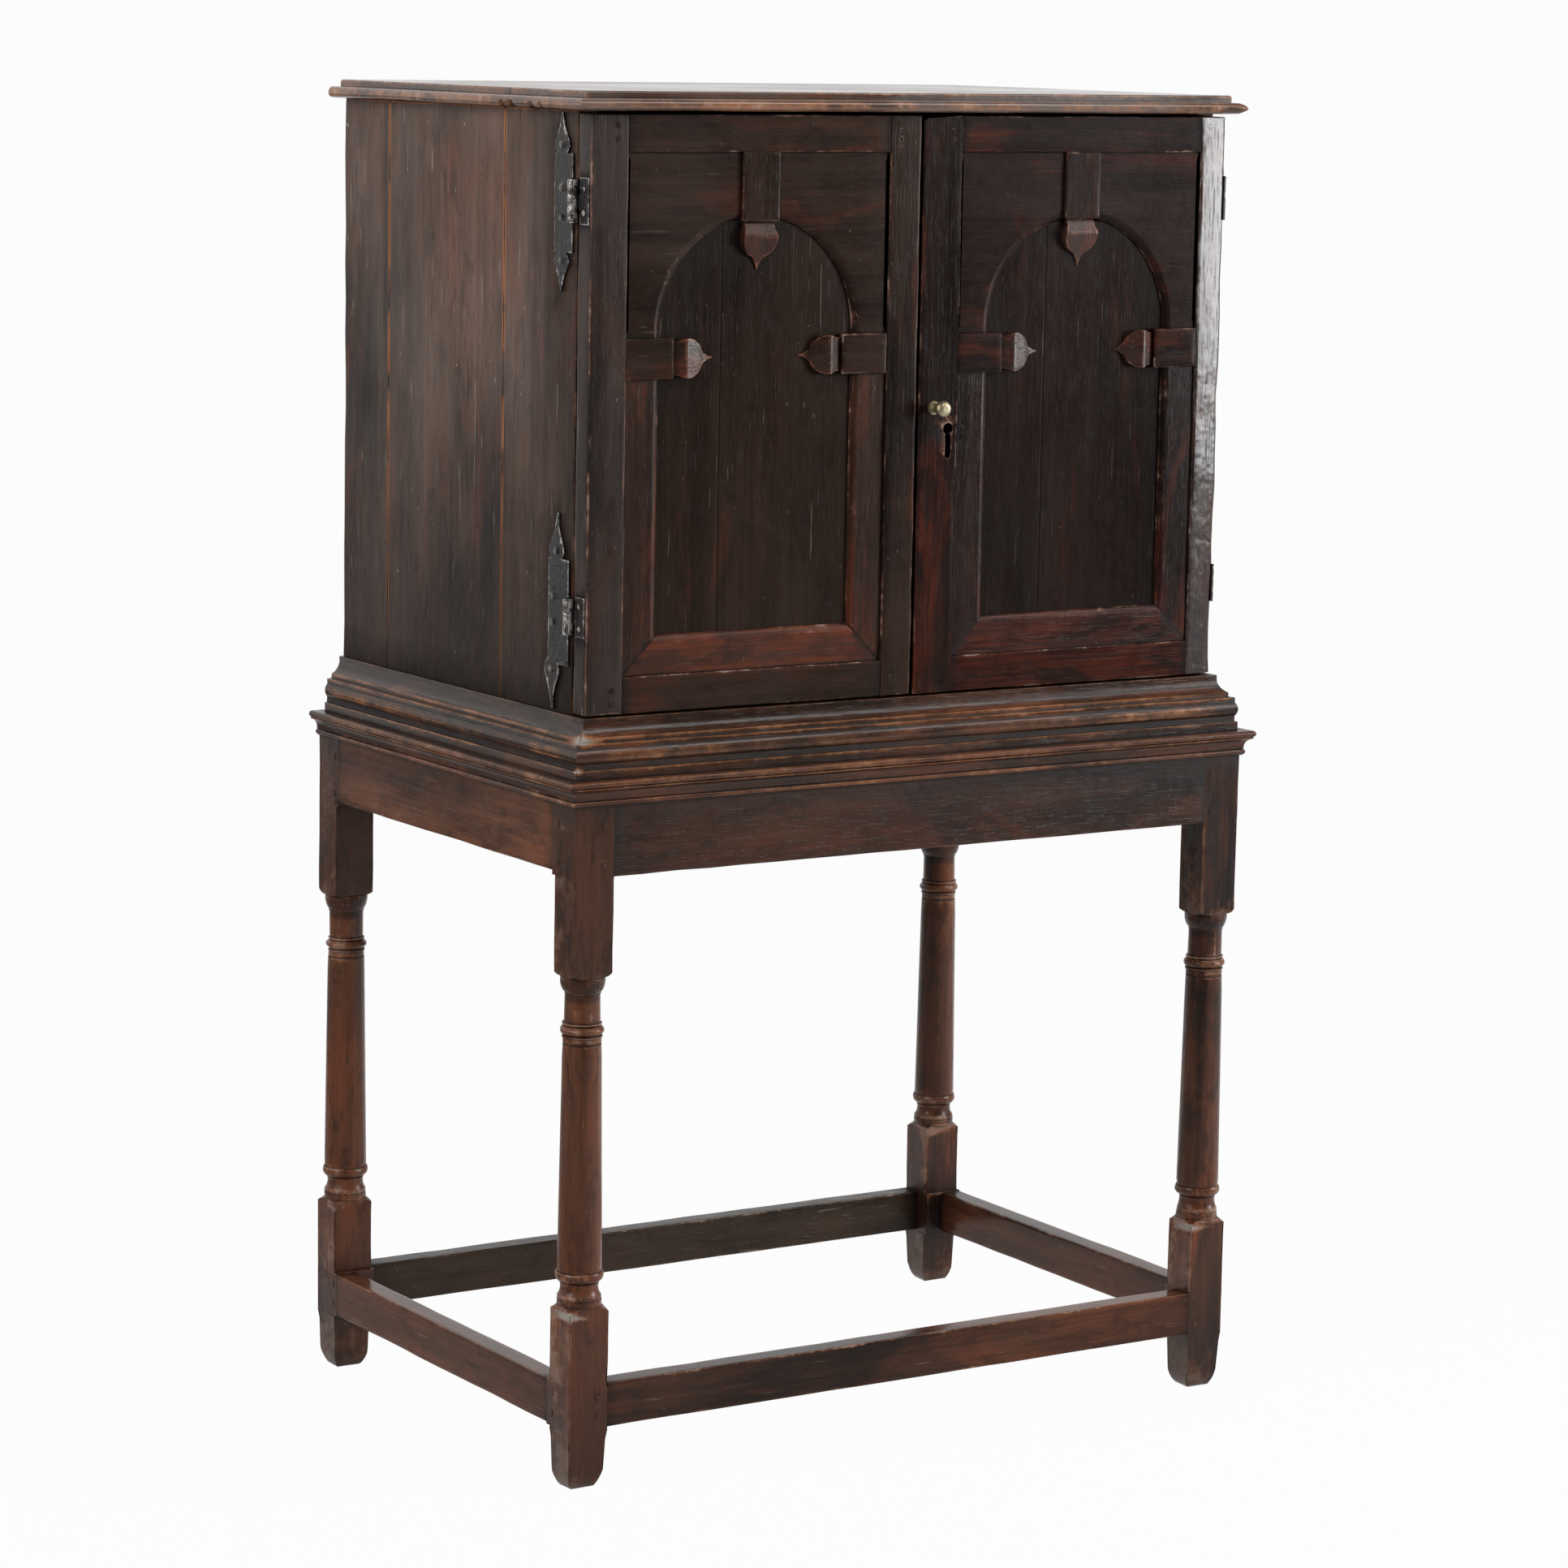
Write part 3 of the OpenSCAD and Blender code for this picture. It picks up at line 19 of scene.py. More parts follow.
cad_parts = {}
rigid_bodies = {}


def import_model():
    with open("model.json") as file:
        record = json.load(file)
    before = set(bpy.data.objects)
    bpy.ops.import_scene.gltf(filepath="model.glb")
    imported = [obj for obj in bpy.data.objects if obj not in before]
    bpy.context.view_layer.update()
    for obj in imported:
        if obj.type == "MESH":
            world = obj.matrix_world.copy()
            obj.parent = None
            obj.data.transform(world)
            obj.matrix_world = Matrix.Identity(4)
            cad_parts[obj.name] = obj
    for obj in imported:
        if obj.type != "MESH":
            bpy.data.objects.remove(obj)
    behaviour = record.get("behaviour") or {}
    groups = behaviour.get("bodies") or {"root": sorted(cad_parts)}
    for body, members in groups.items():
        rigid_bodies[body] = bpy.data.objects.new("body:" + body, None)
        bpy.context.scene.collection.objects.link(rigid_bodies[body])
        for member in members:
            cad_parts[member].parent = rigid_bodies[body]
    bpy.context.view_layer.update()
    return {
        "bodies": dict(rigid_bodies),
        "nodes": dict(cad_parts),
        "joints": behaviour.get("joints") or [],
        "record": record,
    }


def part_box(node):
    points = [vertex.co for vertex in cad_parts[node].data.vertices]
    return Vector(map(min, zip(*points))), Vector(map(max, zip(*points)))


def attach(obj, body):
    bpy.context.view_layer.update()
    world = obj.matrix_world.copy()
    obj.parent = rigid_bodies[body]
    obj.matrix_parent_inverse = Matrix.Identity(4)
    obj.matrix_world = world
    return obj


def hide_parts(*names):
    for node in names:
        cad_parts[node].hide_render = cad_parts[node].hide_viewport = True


LOG = logging.getLogger("cabinet")
MM = 0.001
Triple = tuple[float, float, float]
Colour = Triple
Band = tuple[float, float]
Mould = Callable[[Vector], Vector]
Socket = bpy.types.NodeSocket
Vert = bmesh.types.BMVert

# Floats that each vertex carries for the finishes: how worn it is, with painted highlights
# on bulges and bruises, how near an arris, how deep in a seam, how shut in, which paints
# shade in hollows, and the tone of its board
MEASURES = ("wear", "near", "dirt", "shut", "board")


def ease(value: float, low: float, high: float) -> float:
    """Returns a soft step from 0 at low to 1 at high."""
    share = min(1.0, max(0.0, (value - low) / (high - low)))
    return share * share * (3.0 - 2.0 * share)


class Grain(Enum):
    """Axis along which the wood's fibres run."""

    ACROSS = 0
    DEEP = 1
    UP = 2

    def stretch(self, fine: float, along: float) -> Triple:
        """Returns noise scales: fine across the fibres, along them the other."""
        return tuple(along if axis == self.value else fine for axis in range(3))


class Side(Enum):
    """Left or right half of the cabinet, seen from the front."""

    LEFT = -1
    RIGHT = 1

    @property
    def word(self) -> str:
        """Name of the side as the nodes write it."""
        return self.name.lower()


# Shader graphs


class Val:
    """A number socket that takes part in Python sums."""

    def __init__(self, graph: "Graph", socket: Socket) -> None:
        """Wraps an output socket of the graph that gets the nodes of each sum."""
        self.graph = graph
        self.socket = socket

    def _sum(self, operation: str, first: "Number", second: "Number") -> "Val":
        """Adds one Math node and returns its output."""
        node = self.graph.node("ShaderNodeMath", {"operation": operation}, {0: first, 1: second})
        return Val(self.graph, node.outputs[0])

    def __add__(self, other: "Number") -> "Val":
        """Sum."""
        return self._sum("ADD", self, other)

    __radd__ = __add__

    def __sub__(self, other: "Number") -> "Val":
        """Difference."""
        return self._sum("SUBTRACT", self, other)

    def __rsub__(self, other: "Number") -> "Val":
        """Difference from a number."""
        return self._sum("SUBTRACT", other, self)

    def __mul__(self, other: "Number") -> "Val":
        """Product."""
        return self._sum("MULTIPLY", self, other)

    __rmul__ = __mul__

    def lesser(self, other: "Number") -> "Val":
        """The lesser of this and another value."""
        return self._sum("MINIMUM", self, other)

    def greater(self, other: "Number") -> "Val":
        """The greater of this and another value."""
        return self._sum("MAXIMUM", self, other)

    def rise(self, low: float, high: float) -> "Val":
        """Adds a soft step.

        Args:
            low: Where the step leaves 0.
            high: Where it reaches 1.

        Returns:
            The step's value.
        """
        node = self.graph.node(
            "ShaderNodeMapRange",
            {"interpolation_type": "SMOOTHSTEP", "clamp": True},
            {"Value": self, "From Min": low, "From Max": high, "To Min": 0.0, "To Max": 1.0},
        )
        return Val(self.graph, node.outputs["Result"])


Number = Union[Val, float, int]


@dataclass(frozen=True)
class Layer:
    """A noise: cells per metre across and along the fibres, and how they break up."""

    fine: float
    along: float
    detail: float
    rough: float
    warp: float = 0.0
    shift: float = 0.0


class Graph:
    """The node tree of a material or the world, built from Python."""

    SHIFT_WAY = (1.0, 0.7, 1.3)

    def __init__(self, owner: Union[bpy.types.Material, bpy.types.World]) -> None:
        """Starts an empty node tree.

        Args:
            owner: The material or world that gets it.
        """
        owner.use_nodes = True
        self.owner = owner
        self.tree = owner.node_tree
        self.tree.nodes.clear()
        self.places = self.node("ShaderNodeTexCoord").outputs
        self.place = self.places["Object"]

    def node(self, kind: str, settings: Optional[dict] = None,
             values: Optional[dict] = None) -> bpy.types.Node:
        """Adds any node.

        Args:
            kind: The node's type.
            settings: Its settings, set before its sockets.
            values: A number, colour, vector or link for each named socket.

        Returns:
            The node.
        """
        node = self.tree.nodes.new(kind)
        for key, value in (settings or {}).items():
            setattr(node, key, value)
        for key, value in (values or {}).items():
            self._feed(node.inputs[key], value)
        return node

    def _feed(self, socket: Socket, value: object) -> None:
        """Links or sets one input socket."""
        if isinstance(value, Val):
            self.tree.links.new(value.socket, socket)
        elif isinstance(value, Socket):
            self.tree.links.new(value, socket)
        elif isinstance(value, tuple) and len(value) == 3 and len(socket.default_value) == 4:
            socket.default_value = (*value, 1.0)
        else:
            socket.default_value = value

    def noise(self, layer: Layer, grain: Grain = Grain.UP) -> Val:
        """Adds noise on object coordinates.

        Args:
            layer: Which noise.
            grain: Axis that takes the layer's scale along the fibres.

        Returns:
            The noise, about 0.5 on average.
        """
        shift = tuple(layer.shift * way for way in self.SHIFT_WAY)
        place = self.node("ShaderNodeVectorMath", {"operation": "MULTIPLY_ADD"},
                          {0: self.place, 1: grain.stretch(layer.fine, layer.along), 2: shift})
        node = self.node("ShaderNodeTexNoise", {"noise_dimensions": "3D"},
                         {"Vector": place.outputs[0], "Scale": 1.0, "Detail": layer.detail,
                          "Roughness": layer.rough, "Distortion": layer.warp})
        return Val(self, node.outputs[0])

    def attribute(self, name: str) -> Val:
        """A float that the mesh carries."""
        node = self.node("ShaderNodeAttribute", {"attribute_name": name})
        return Val(self, node.outputs["Fac"])

    def axis(self, index: int) -> Val:
        """One object coordinate."""
        node = self.node("ShaderNodeSeparateXYZ", None, {0: self.place})
        return Val(self, node.outputs[index])

    def mix(self, factor: Number, first: object, second: object) -> Socket:
        """Mixes two colours and returns the result's socket."""
        node = self.node("ShaderNodeMix", {"data_type": "RGBA", "blend_type": "MIX"},
                         {0: factor, 6: first, 7: second})
        return node.outputs[2]

    def shade(self, value: Number, colour: object) -> Socket:
        """A colour made lighter or darker by a value."""
        node = self.node("ShaderNodeVectorMath", {"operation": "SCALE"},
                         {0: colour, "Scale": value})
        return node.outputs[0]

    def bump(self, height: Val, distance: float) -> Socket:
        """Turns a height in parts of a distance into a normal."""
        node = self.node("ShaderNodeBump", None,
                         {"Strength": 1.0, "Distance": distance, "Height": height})
        return node.outputs["Normal"]

    def surface(self, values: dict) -> bpy.types.Material:
        """Ends the graph in one glossy surface and returns the material."""
        shader = self.node("ShaderNodeBsdfPrincipled", None, values)
        self.node("ShaderNodeOutputMaterial", None, {"Surface": shader.outputs[0]})
        return self.owner


# Finishes

# The noises of old oak
TONE = Layer(6.0, 1.7, 4, 0.6, 0.4, 3.1)
STREAK = Layer(46.0, 2.4, 5, 0.65, 0.2, 7.7)
FIBRE = Layer(330.0, 9.0, 3, 0.6)
PORE = Layer(820.0, 30.0, 2, 0.5, 0.0, 2.0)
REDNESS = Layer(15.0, 4.0, 5, 0.65, 1.1, 5.0)
BLOTCH = Layer(44.0, 17.0, 5, 0.68, 0.6, 17.0)
FLECK = Layer(95.0, 95.0, 3, 0.65, 0.0, 1.0)
SLOW = Layer(21.0, 21.0, 3, 0.6, 0.0, 9.0)
NICK = Layer(330.0, 15.0, 2, 0.5, 0.2, 21.0)
NICK_FIELD = Layer(11.0, 11.0, 2, 0.5, 0.0, 4.0)
# Patches and spots keep upright whatever the fibres do
PATCH = Layer(5.0, 4.0, 3, 0.5, 0.0, 11.0)
SPOT = Layer(170.0, 120.0, 2, 0.5, 0.0, 31.0)
SPOT_FIELD = Layer(17.0, 17.0, 2, 0.5, 0.0, 14.0)

# Heights and depths in metres between which a finish changes
LOW_DOOR: Band = (0.80, 0.95)
HIGH_CASE: Band = (1.12, 1.34)
# Heights of the painted shade low on the sides
LOWER_SIDE: Band = (0.74, 1.12)
FRONT_FIELD: Band = (-0.205, -0.115)
FEET: Band = (0.03, 0.20)
DIM_STEP = 0.006


class OakGraph(Graph):
    """An oak finish's graph, with the values that all its parts read."""

    def __init__(self, name: str, grain: Grain) -> None:
        """Starts the material.

        Args:
            name: The material's name.
            grain: Direction of the fibres.
        """
        super().__init__(bpy.data.materials.new(name))
        self.grain = grain
        self.wear, self.near, self.dirt, self.shut, self.board = map(self.attribute, MEASURES)
        self.streak, self.fibre, self.fleck, self.slow = map(
            self.along, (STREAK, FIBRE, FLECK, SLOW))
        self.level = self.axis(Grain.UP.value)

    def along(self, layer: Layer) -> Val:
        """A noise laid along the fibres."""
        return self.noise(layer, self.grain)


@dataclass(frozen=True)
class OakFinish:
    """Old waxed oak: dark joints, painted shade in hollows, edges paler with wear and painted
    highlights.
    """

    # Colours
    name: str
    deep: Colour
    body: Colour
    flare: Colour = (0.095, 0.019, 0.009)
    rubbed: Colour = (0.17, 0.072, 0.036)
    # Pale colour of the sharpest arrises: partly worn wood, partly a painted highlight
    glint: Colour = (0.34, 0.25, 0.21)
    # Pale film: partly old wax, partly painted sheen
    bloom: Colour = (0.075, 0.068, 0.066)
    scratch: Colour = (0.34, 0.29, 0.26)
    seam: Colour = (0.30, 0.115, 0.045)
    # How much of each there is, and where it starts
    flares: float = 0.5
    flare_low: float = 0.52
    low_red: float = 0.0
    # How much pale film there is, old wax and painted sheen together
    blooms: float = 0.1
    rubs: float = 0.75
    rub_start: float = 0.52
    glints: float = 0.6
    glint_start: float = 0.98
    scratches: float = 0.3
    blotches: float = 0.45
    seam_rub: float = 0.0
    contrast: float = 0.3
    patchy: float = 1.0
    # How much darker some stretches are
    # Painted shade: how much darker the sides are towards the bottom
    dim_below: float = 0.0
    dim_front: float = 0.0
    dim_feet: float = 0.0
    dim_above: float = 0.0
    dim_from: float = 0.48
    # Gloss and relief
    shine: float = 0.34
    sheen_level: float = 0.12
    relief: float = 0.0005
    ripple: float = 1.5

    def wood(self, g: OakGraph) -> tuple[Socket, Val]:
        """Colours the wood, with its red flares, dark blotches and a pale film that is partly old
        wax and partly painted sheen.

        Args:
            g: The finish's graph.

        Returns:
            The colour and its pale film, partly old wax and partly painted sheen.
        """
        blend = (0.5 + (g.along(TONE) - 0.5) * 2.6 + (g.streak - 0.5) * 5.0 * self.contrast
                 + g.board * 0.12).lesser(1.0).greater(0.0)
        colour = g.mix(blend, self.deep, self.body)
        low = 1.0 - g.level.rise(*LOW_DOOR)
        flare = (g.along(REDNESS) + g.near * 0.07 + low * self.low_red * 0.25).rise(
            self.flare_low, self.flare_low + 0.15)
        flare = flare * (0.35 + 0.9 * g.fibre.rise(0.30, 0.72)) * (0.75 + 0.5 * g.streak)
        colour = g.mix((flare * self.flares).lesser(1.0), colour, self.flare)
        colour = g.mix(g.along(BLOTCH).rise(0.49, 0.66) * self.blotches, colour, self.deep)
        # Pale film, partly old wax and partly painted sheen, a little stronger high on the case
        haze_and_painted_sheen = (g.noise(PATCH) + g.level.rise(*HIGH_CASE) * 0.1).rise(0.44, 0.70)
        haze_and_painted_sheen = haze_and_painted_sheen * (0.35 + 0.9 * g.streak) * self.blooms
        return g.mix(haze_and_painted_sheen, colour, self.bloom), haze_and_painted_sheen

    def rub_edges(self, g: OakGraph, colour: Socket) -> tuple[Socket, Val]:
        """Makes the arrises and bulges paler, partly as wear and partly as painted highlights,
        and warms the wood beside the joints.

        Args:
            g: The finish's graph.
            colour: The wood's colour.

        Returns:
            The colour with its wear and painted highlights, and how worn each place is, painted
            highlights included.
        """
        uneven = (g.fleck - 0.5) * 0.8 + (g.slow - 0.5) * 1.3 + (g.fibre - 0.5) * 0.4
        rub_and_highlight = (g.wear * 0.62 + g.near * 0.12 + uneven * self.patchy).rise(
            self.rub_start, self.rub_start + 0.34) * self.rubs
        colour = g.mix(rub_and_highlight, colour, self.rubbed)
        # Palest on the sharpest arrises: partly worn wood, partly a painted highlight
        glint = (g.wear + (g.fleck - 0.5) * 1.1 + (g.slow - 0.5) * 1.5).rise(
            self.glint_start, self.glint_start + 0.14) * self.glints
        colour = g.mix(glint, colour, self.glint)
        rim = g.dirt.rise(0.04, 0.30) * (1.0 - g.dirt.rise(0.72, 0.92)) * g.slow.rise(0.34, 0.52)
        return g.mix(rim * self.seam_rub, colour, self.seam), rub_and_highlight

    def marks(self, g: OakGraph) -> Val:
        """Scatters nicks along the fibres, round spots and pale marks on the rawest bruises,
        which on worn corners are a painted highlight.
        """
        nick = g.along(NICK).rise(0.672, 0.70) * g.noise(NICK_FIELD).rise(0.47, 0.60)
        spot = g.noise(SPOT).rise(0.715, 0.75) * g.noise(SPOT_FIELD).rise(0.48, 0.62)
        return ((nick * 0.8 + spot).lesser(1.0) * self.scratches).greater(g.wear.rise(1.05, 1.4))

    def light(self, g: OakGraph, pore: Val, dirt_and_shade: Val) -> Val:
        """Works out a factor on the colour: grain, pores, dirt, painted shade and darker
        stretches.

        Args:
            g: The finish's graph.
            pore: Where the pores lie.
            dirt_and_shade: Dirt along the seams, and painted shade in the hollows.

        Returns:
            A factor on the colour.
        """
        factor = (0.76 + 0.48 * g.fibre) * (1.0 - 0.45 * pore) * (1.0 - 0.75 * dirt_and_shade)
        depth = g.axis(Grain.DEEP.value)
        # Darker stretches, of which the one low on the sides is painted shade
        for place, dim in ((1.0 - g.level.rise(*LOWER_SIDE), self.dim_below),
                           (1.0 - depth.rise(*FRONT_FIELD), self.dim_front),
                           (1.0 - g.level.rise(*FEET), self.dim_feet),
                           (g.level.rise(self.dim_from, self.dim_from + DIM_STEP),
                            self.dim_above)):
            factor = factor * (1.0 - place * dim)
        return factor

    @cache
    def material(self, grain: Grain) -> bpy.types.Material:
        """Makes the finish for boards whose fibres run one way.

        Args:
            grain: Direction of the fibres.

        Returns:
            The material.
        """
        g = OakGraph(f"{self.name}_{grain.name.lower()}", grain)
        pore = g.along(PORE).rise(0.57, 0.72)
        colour, haze_and_painted_sheen = self.wood(g)
        colour, rub_and_highlight = self.rub_edges(g, colour)
        marks = self.marks(g)
        colour = g.mix(marks, colour, self.scratch)
        # Dirt along the seams, and painted shade in hollows from how shut in each point is
        dirt_and_shade = (g.dirt.rise(0.35, 1.0) * (0.8 + g.slow * 0.4) + g.shut * 0.8).lesser(1.0)
        rough = (self.shine + (g.streak - 0.5) * 0.22 + (g.fleck - 0.5) * 0.20 + marks * 0.15
                 + pore * 0.12 + haze_and_painted_sheen * 0.2 + dirt_and_shade * 0.25 - rub_and_highlight * 0.04)
        height = (g.fibre * 0.26 - pore * 0.34 + g.streak * 0.75 + g.slow * self.ripple
                  + g.fleck * 0.30 - marks * 0.5)
        return g.surface({
            "Base Color": g.shade(self.light(g, pore, dirt_and_shade), colour),
            "Roughness": rough,
            "Specular IOR Level": self.sheen_level,
            "Normal": g.bump(height, self.relief),
        })


@dataclass(frozen=True)
class IronFinish:
    """Wrought iron, blackened and worn grey."""

    name: str = "iron_black"
    dark: Colour = (0.0125, 0.0105, 0.0095)
    worn: Colour = (0.080, 0.070, 0.063)
    bare: Colour = (0.48, 0.46, 0.44)
    # How worn the iron is all over; on the nails this partly paints their highlight
    rubs: float = 0.08
    pits: Layer = Layer(190.0, 190.0, 4, 0.65)
    scale: Layer = Layer(45.0, 30.0, 4, 0.6, 0.4, 3.0)

    @cache
    def material(self) -> bpy.types.Material:
        """Makes the finish and returns the material."""
        g = Graph(bpy.data.materials.new(self.name))
        wear = g.attribute("wear")
        pit, scale = g.noise(self.pits), g.noise(self.scale)
        rub_and_highlight = (wear * 0.6 + self.rubs + (pit - 0.5) * 1.5 + (scale - 0.5) * 1.2).rise(0.22, 0.80)
        colour = g.mix(rub_and_highlight, self.dark, self.worn)
        bare = (wear + self.rubs + (pit - 0.5) * 1.6 + (scale - 0.5) * 1.2).rise(0.80, 1.05)
        return g.surface({
            "Base Color": g.mix(bare, colour, self.bare),
            "Metallic": bare * 0.7,
            "Roughness": 0.46 - rub_and_highlight * 0.13 + (pit - 0.5) * 0.2,
            "Specular IOR Level": 0.35,
            "Normal": g.bump(pit * 0.7 + scale * 1.4, 1.8 * MM),
        })


@dataclass(frozen=True)
class BrassFinish:
    """Pale brass, softly polished by hands, stained, and darker at its foot as painted shade."""

    name: str = "brass_pale"
    bright: Colour = (0.40, 0.345, 0.225)
    dull: Colour = (0.17, 0.135, 0.075)
    stains: Layer = Layer(260.0, 260.0, 4, 0.6, 0.5)
    grit: Layer = Layer(900.0, 900.0, 2, 0.5)
    # Depths over which the knob's foot is darkened as painted shade
    foot: Band = (-0.2555, -0.2490)

    @cache
    def material(self) -> bpy.types.Material:
        """Makes the finish and returns the material."""
        g = Graph(bpy.data.materials.new(self.name))
        stain, fine = g.noise(self.stains), g.noise(self.grit)
        # Tarnish stains, and painted shade towards the foot
        foot = g.axis(Grain.DEEP.value).rise(*self.foot)
        tarnish_and_shade = (stain.rise(0.50, 0.70) * 0.6 + foot * 0.75).lesser(1.0)
        return g.surface({
            "Base Color": g.mix(tarnish_and_shade, self.bright, self.dull),
            "Metallic": 0.9,
            "Roughness": 0.38 + tarnish_and_shade * 0.25 + (fine - 0.5) * 0.1,
            "Normal": g.bump(fine * 0.3 + stain * 0.5, 0.2 * MM),
        })


# The woods of the stand

STAND_OAK = OakFinish(
    "oak_stand", (0.017, 0.0075, 0.005), (0.175, 0.060, 0.027), flare=(0.19, 0.048, 0.018),
    rubbed=(0.26, 0.105, 0.048), flares=0.5, blotches=0.6, sheen_level=0.26, glints=0.35,
    shine=0.27, dim_feet=0.55, dim_above=0.56, scratches=0.07, ripple=2.2)
RAIL_OAK = OakFinish(
    "oak_rails", (0.020, 0.0090, 0.0058), (0.215, 0.080, 0.039), flare=(0.24, 0.070, 0.028),
    rubbed=(0.27, 0.11, 0.055), flares=0.45, blotches=0.55, sheen_level=0.16, glints=0.5,
    shine=0.28)
BACK_RAIL_OAK = OakFinish(
    "oak_back_rails", (0.012, 0.0085, 0.0062), (0.050, 0.032, 0.021), flare=(0.07, 0.032, 0.018),
    rubbed=(0.13, 0.08, 0.05), flares=0.3, sheen_level=0.16, glints=0.5, shine=0.28)
LOW_OAK = OakFinish(
    "oak_low", (0.015, 0.0075, 0.005), (0.135, 0.049, 0.024), flare=(0.18, 0.050, 0.020),
    rubbed=(0.24, 0.105, 0.05), flares=0.45, sheen_level=0.16, shine=0.15, relief=0.00010)
LIP_OAK = OakFinish(
    "oak_lip", (0.011, 0.0055, 0.0038), (0.052, 0.0205, 0.0105), flare=(0.17, 0.052, 0.021),
    rubbed=(0.25, 0.092, 0.036), glint=(0.40, 0.25, 0.16), sheen_level=0.26, shine=0.24,
    rub_start=0.45, patchy=0.5, blooms=0.0, scratches=0.08, glints=0.25, contrast=0.16,
    relief=0.00025)

# The woods of the case

# The sides: their pale greyish body partly stands for the sheen on them, as painted sheen
SIDE_OAK = OakFinish(
    "oak_side", (0.015, 0.0095, 0.0072), (0.185, 0.103, 0.074), flare=(0.16, 0.045, 0.022),
    rubbed=(0.28, 0.12, 0.055), bloom=(0.135, 0.112, 0.104), seam=(0.40, 0.155, 0.06),
    contrast=0.22, scratches=0.85, blooms=0.5, flares=0.4, sheen_level=0.08, shine=0.33,
    seam_rub=1.0, dim_below=0.68, dim_front=0.5)
BASE_OAK = OakFinish(
    "oak_base", (0.0095, 0.0048, 0.0034), (0.046, 0.0195, 0.0105), flare=(0.17, 0.056, 0.024),
    rubbed=(0.31, 0.125, 0.048), glint=(0.42, 0.29, 0.21), flares=0.55, sheen_level=0.30,
    shine=0.21, rub_start=0.45, rubs=0.8, glints=0.15, dim_above=0.5, dim_from=0.740,
    patchy=0.5, blooms=0.0, scratches=0.08, contrast=0.14, relief=0.00028)
TOP_OAK = OakFinish(
    "oak_top", (0.022, 0.011, 0.0075), (0.20, 0.085, 0.042), bloom=(0.24, 0.185, 0.16),
    blooms=0.5, flare=(0.32, 0.105, 0.040), rubbed=(0.34, 0.145, 0.066), shine=0.13,
    sheen_level=0.5, relief=0.00005, rub_start=0.36)
INSIDE_OAK = OakFinish(
    "oak_inside", (0.055, 0.032, 0.020), (0.16, 0.10, 0.062), flare=(0.20, 0.10, 0.05),
    rubbed=(0.26, 0.17, 0.11), shine=0.6, flares=0.2, sheen_level=0.15)
# Nail heads worn paler, partly as a painted highlight on their domes
NAIL_IRON = IronFinish("iron_nails", (0.03, 0.027, 0.025), (0.16, 0.15, 0.14), rubs=0.55)

# The woods of the doors


@dataclass(frozen=True)
class DoorWoods:
    """The finishes of one door's pieces."""

    frame: OakFinish
    outer: OakFinish
    panel: OakFinish
    trim: OakFinish
    drops: OakFinish


LEFT_WOODS = DoorWoods(
    frame=OakFinish(
        "oak_left_frame", (0.0080, 0.0046, 0.0035), (0.039, 0.0205, 0.0138),
        flare=(0.085, 0.022, 0.0100), flare_low=0.56, low_red=0.15, bloom=(0.085, 0.070, 0.064),
        blooms=0.15, scratches=0.2, rubbed=(0.15, 0.070, 0.045), sheen_level=0.09, shine=0.29,
        relief=0.0003),
    # The left hinge stile: its pale greyish body partly stands for its sheen, as painted sheen
    outer=OakFinish(
        "oak_left_outer", (0.011, 0.0078, 0.0068), (0.066, 0.048, 0.042),
        flare=(0.085, 0.022, 0.0100), flares=0.3, bloom=(0.085, 0.070, 0.064),
        rubbed=(0.20, 0.10, 0.070), scratches=0.35, blooms=0.35, shine=0.29, relief=0.0003,
        rub_start=0.46),
    panel=OakFinish(
        "oak_left_panel", (0.0095, 0.0050, 0.0033), (0.033, 0.0165, 0.0095),
        flare=(0.062, 0.019, 0.0095), flare_low=0.54, scratches=0.2, rubbed=(0.08, 0.035, 0.02),
        sheen_level=0.08, contrast=0.2, relief=0.0003),
    trim=OakFinish(
        "oak_left_trim", (0.0085, 0.0042, 0.0030), (0.048, 0.019, 0.0105),
        flare=(0.135, 0.030, 0.012), flares=0.8, flare_low=0.58, low_red=0.42,
        rubbed=(0.17, 0.065, 0.03), sheen_level=0.14, scratches=0.15, relief=0.0003),
    drops=OakFinish(
        "oak_drops", (0.015, 0.0080, 0.0058), (0.080, 0.035, 0.023), flare=(0.14, 0.037, 0.017),
        rubbed=(0.24, 0.095, 0.045), scratches=0.12, sheen_level=0.2, shine=0.32,
        rub_start=0.42))
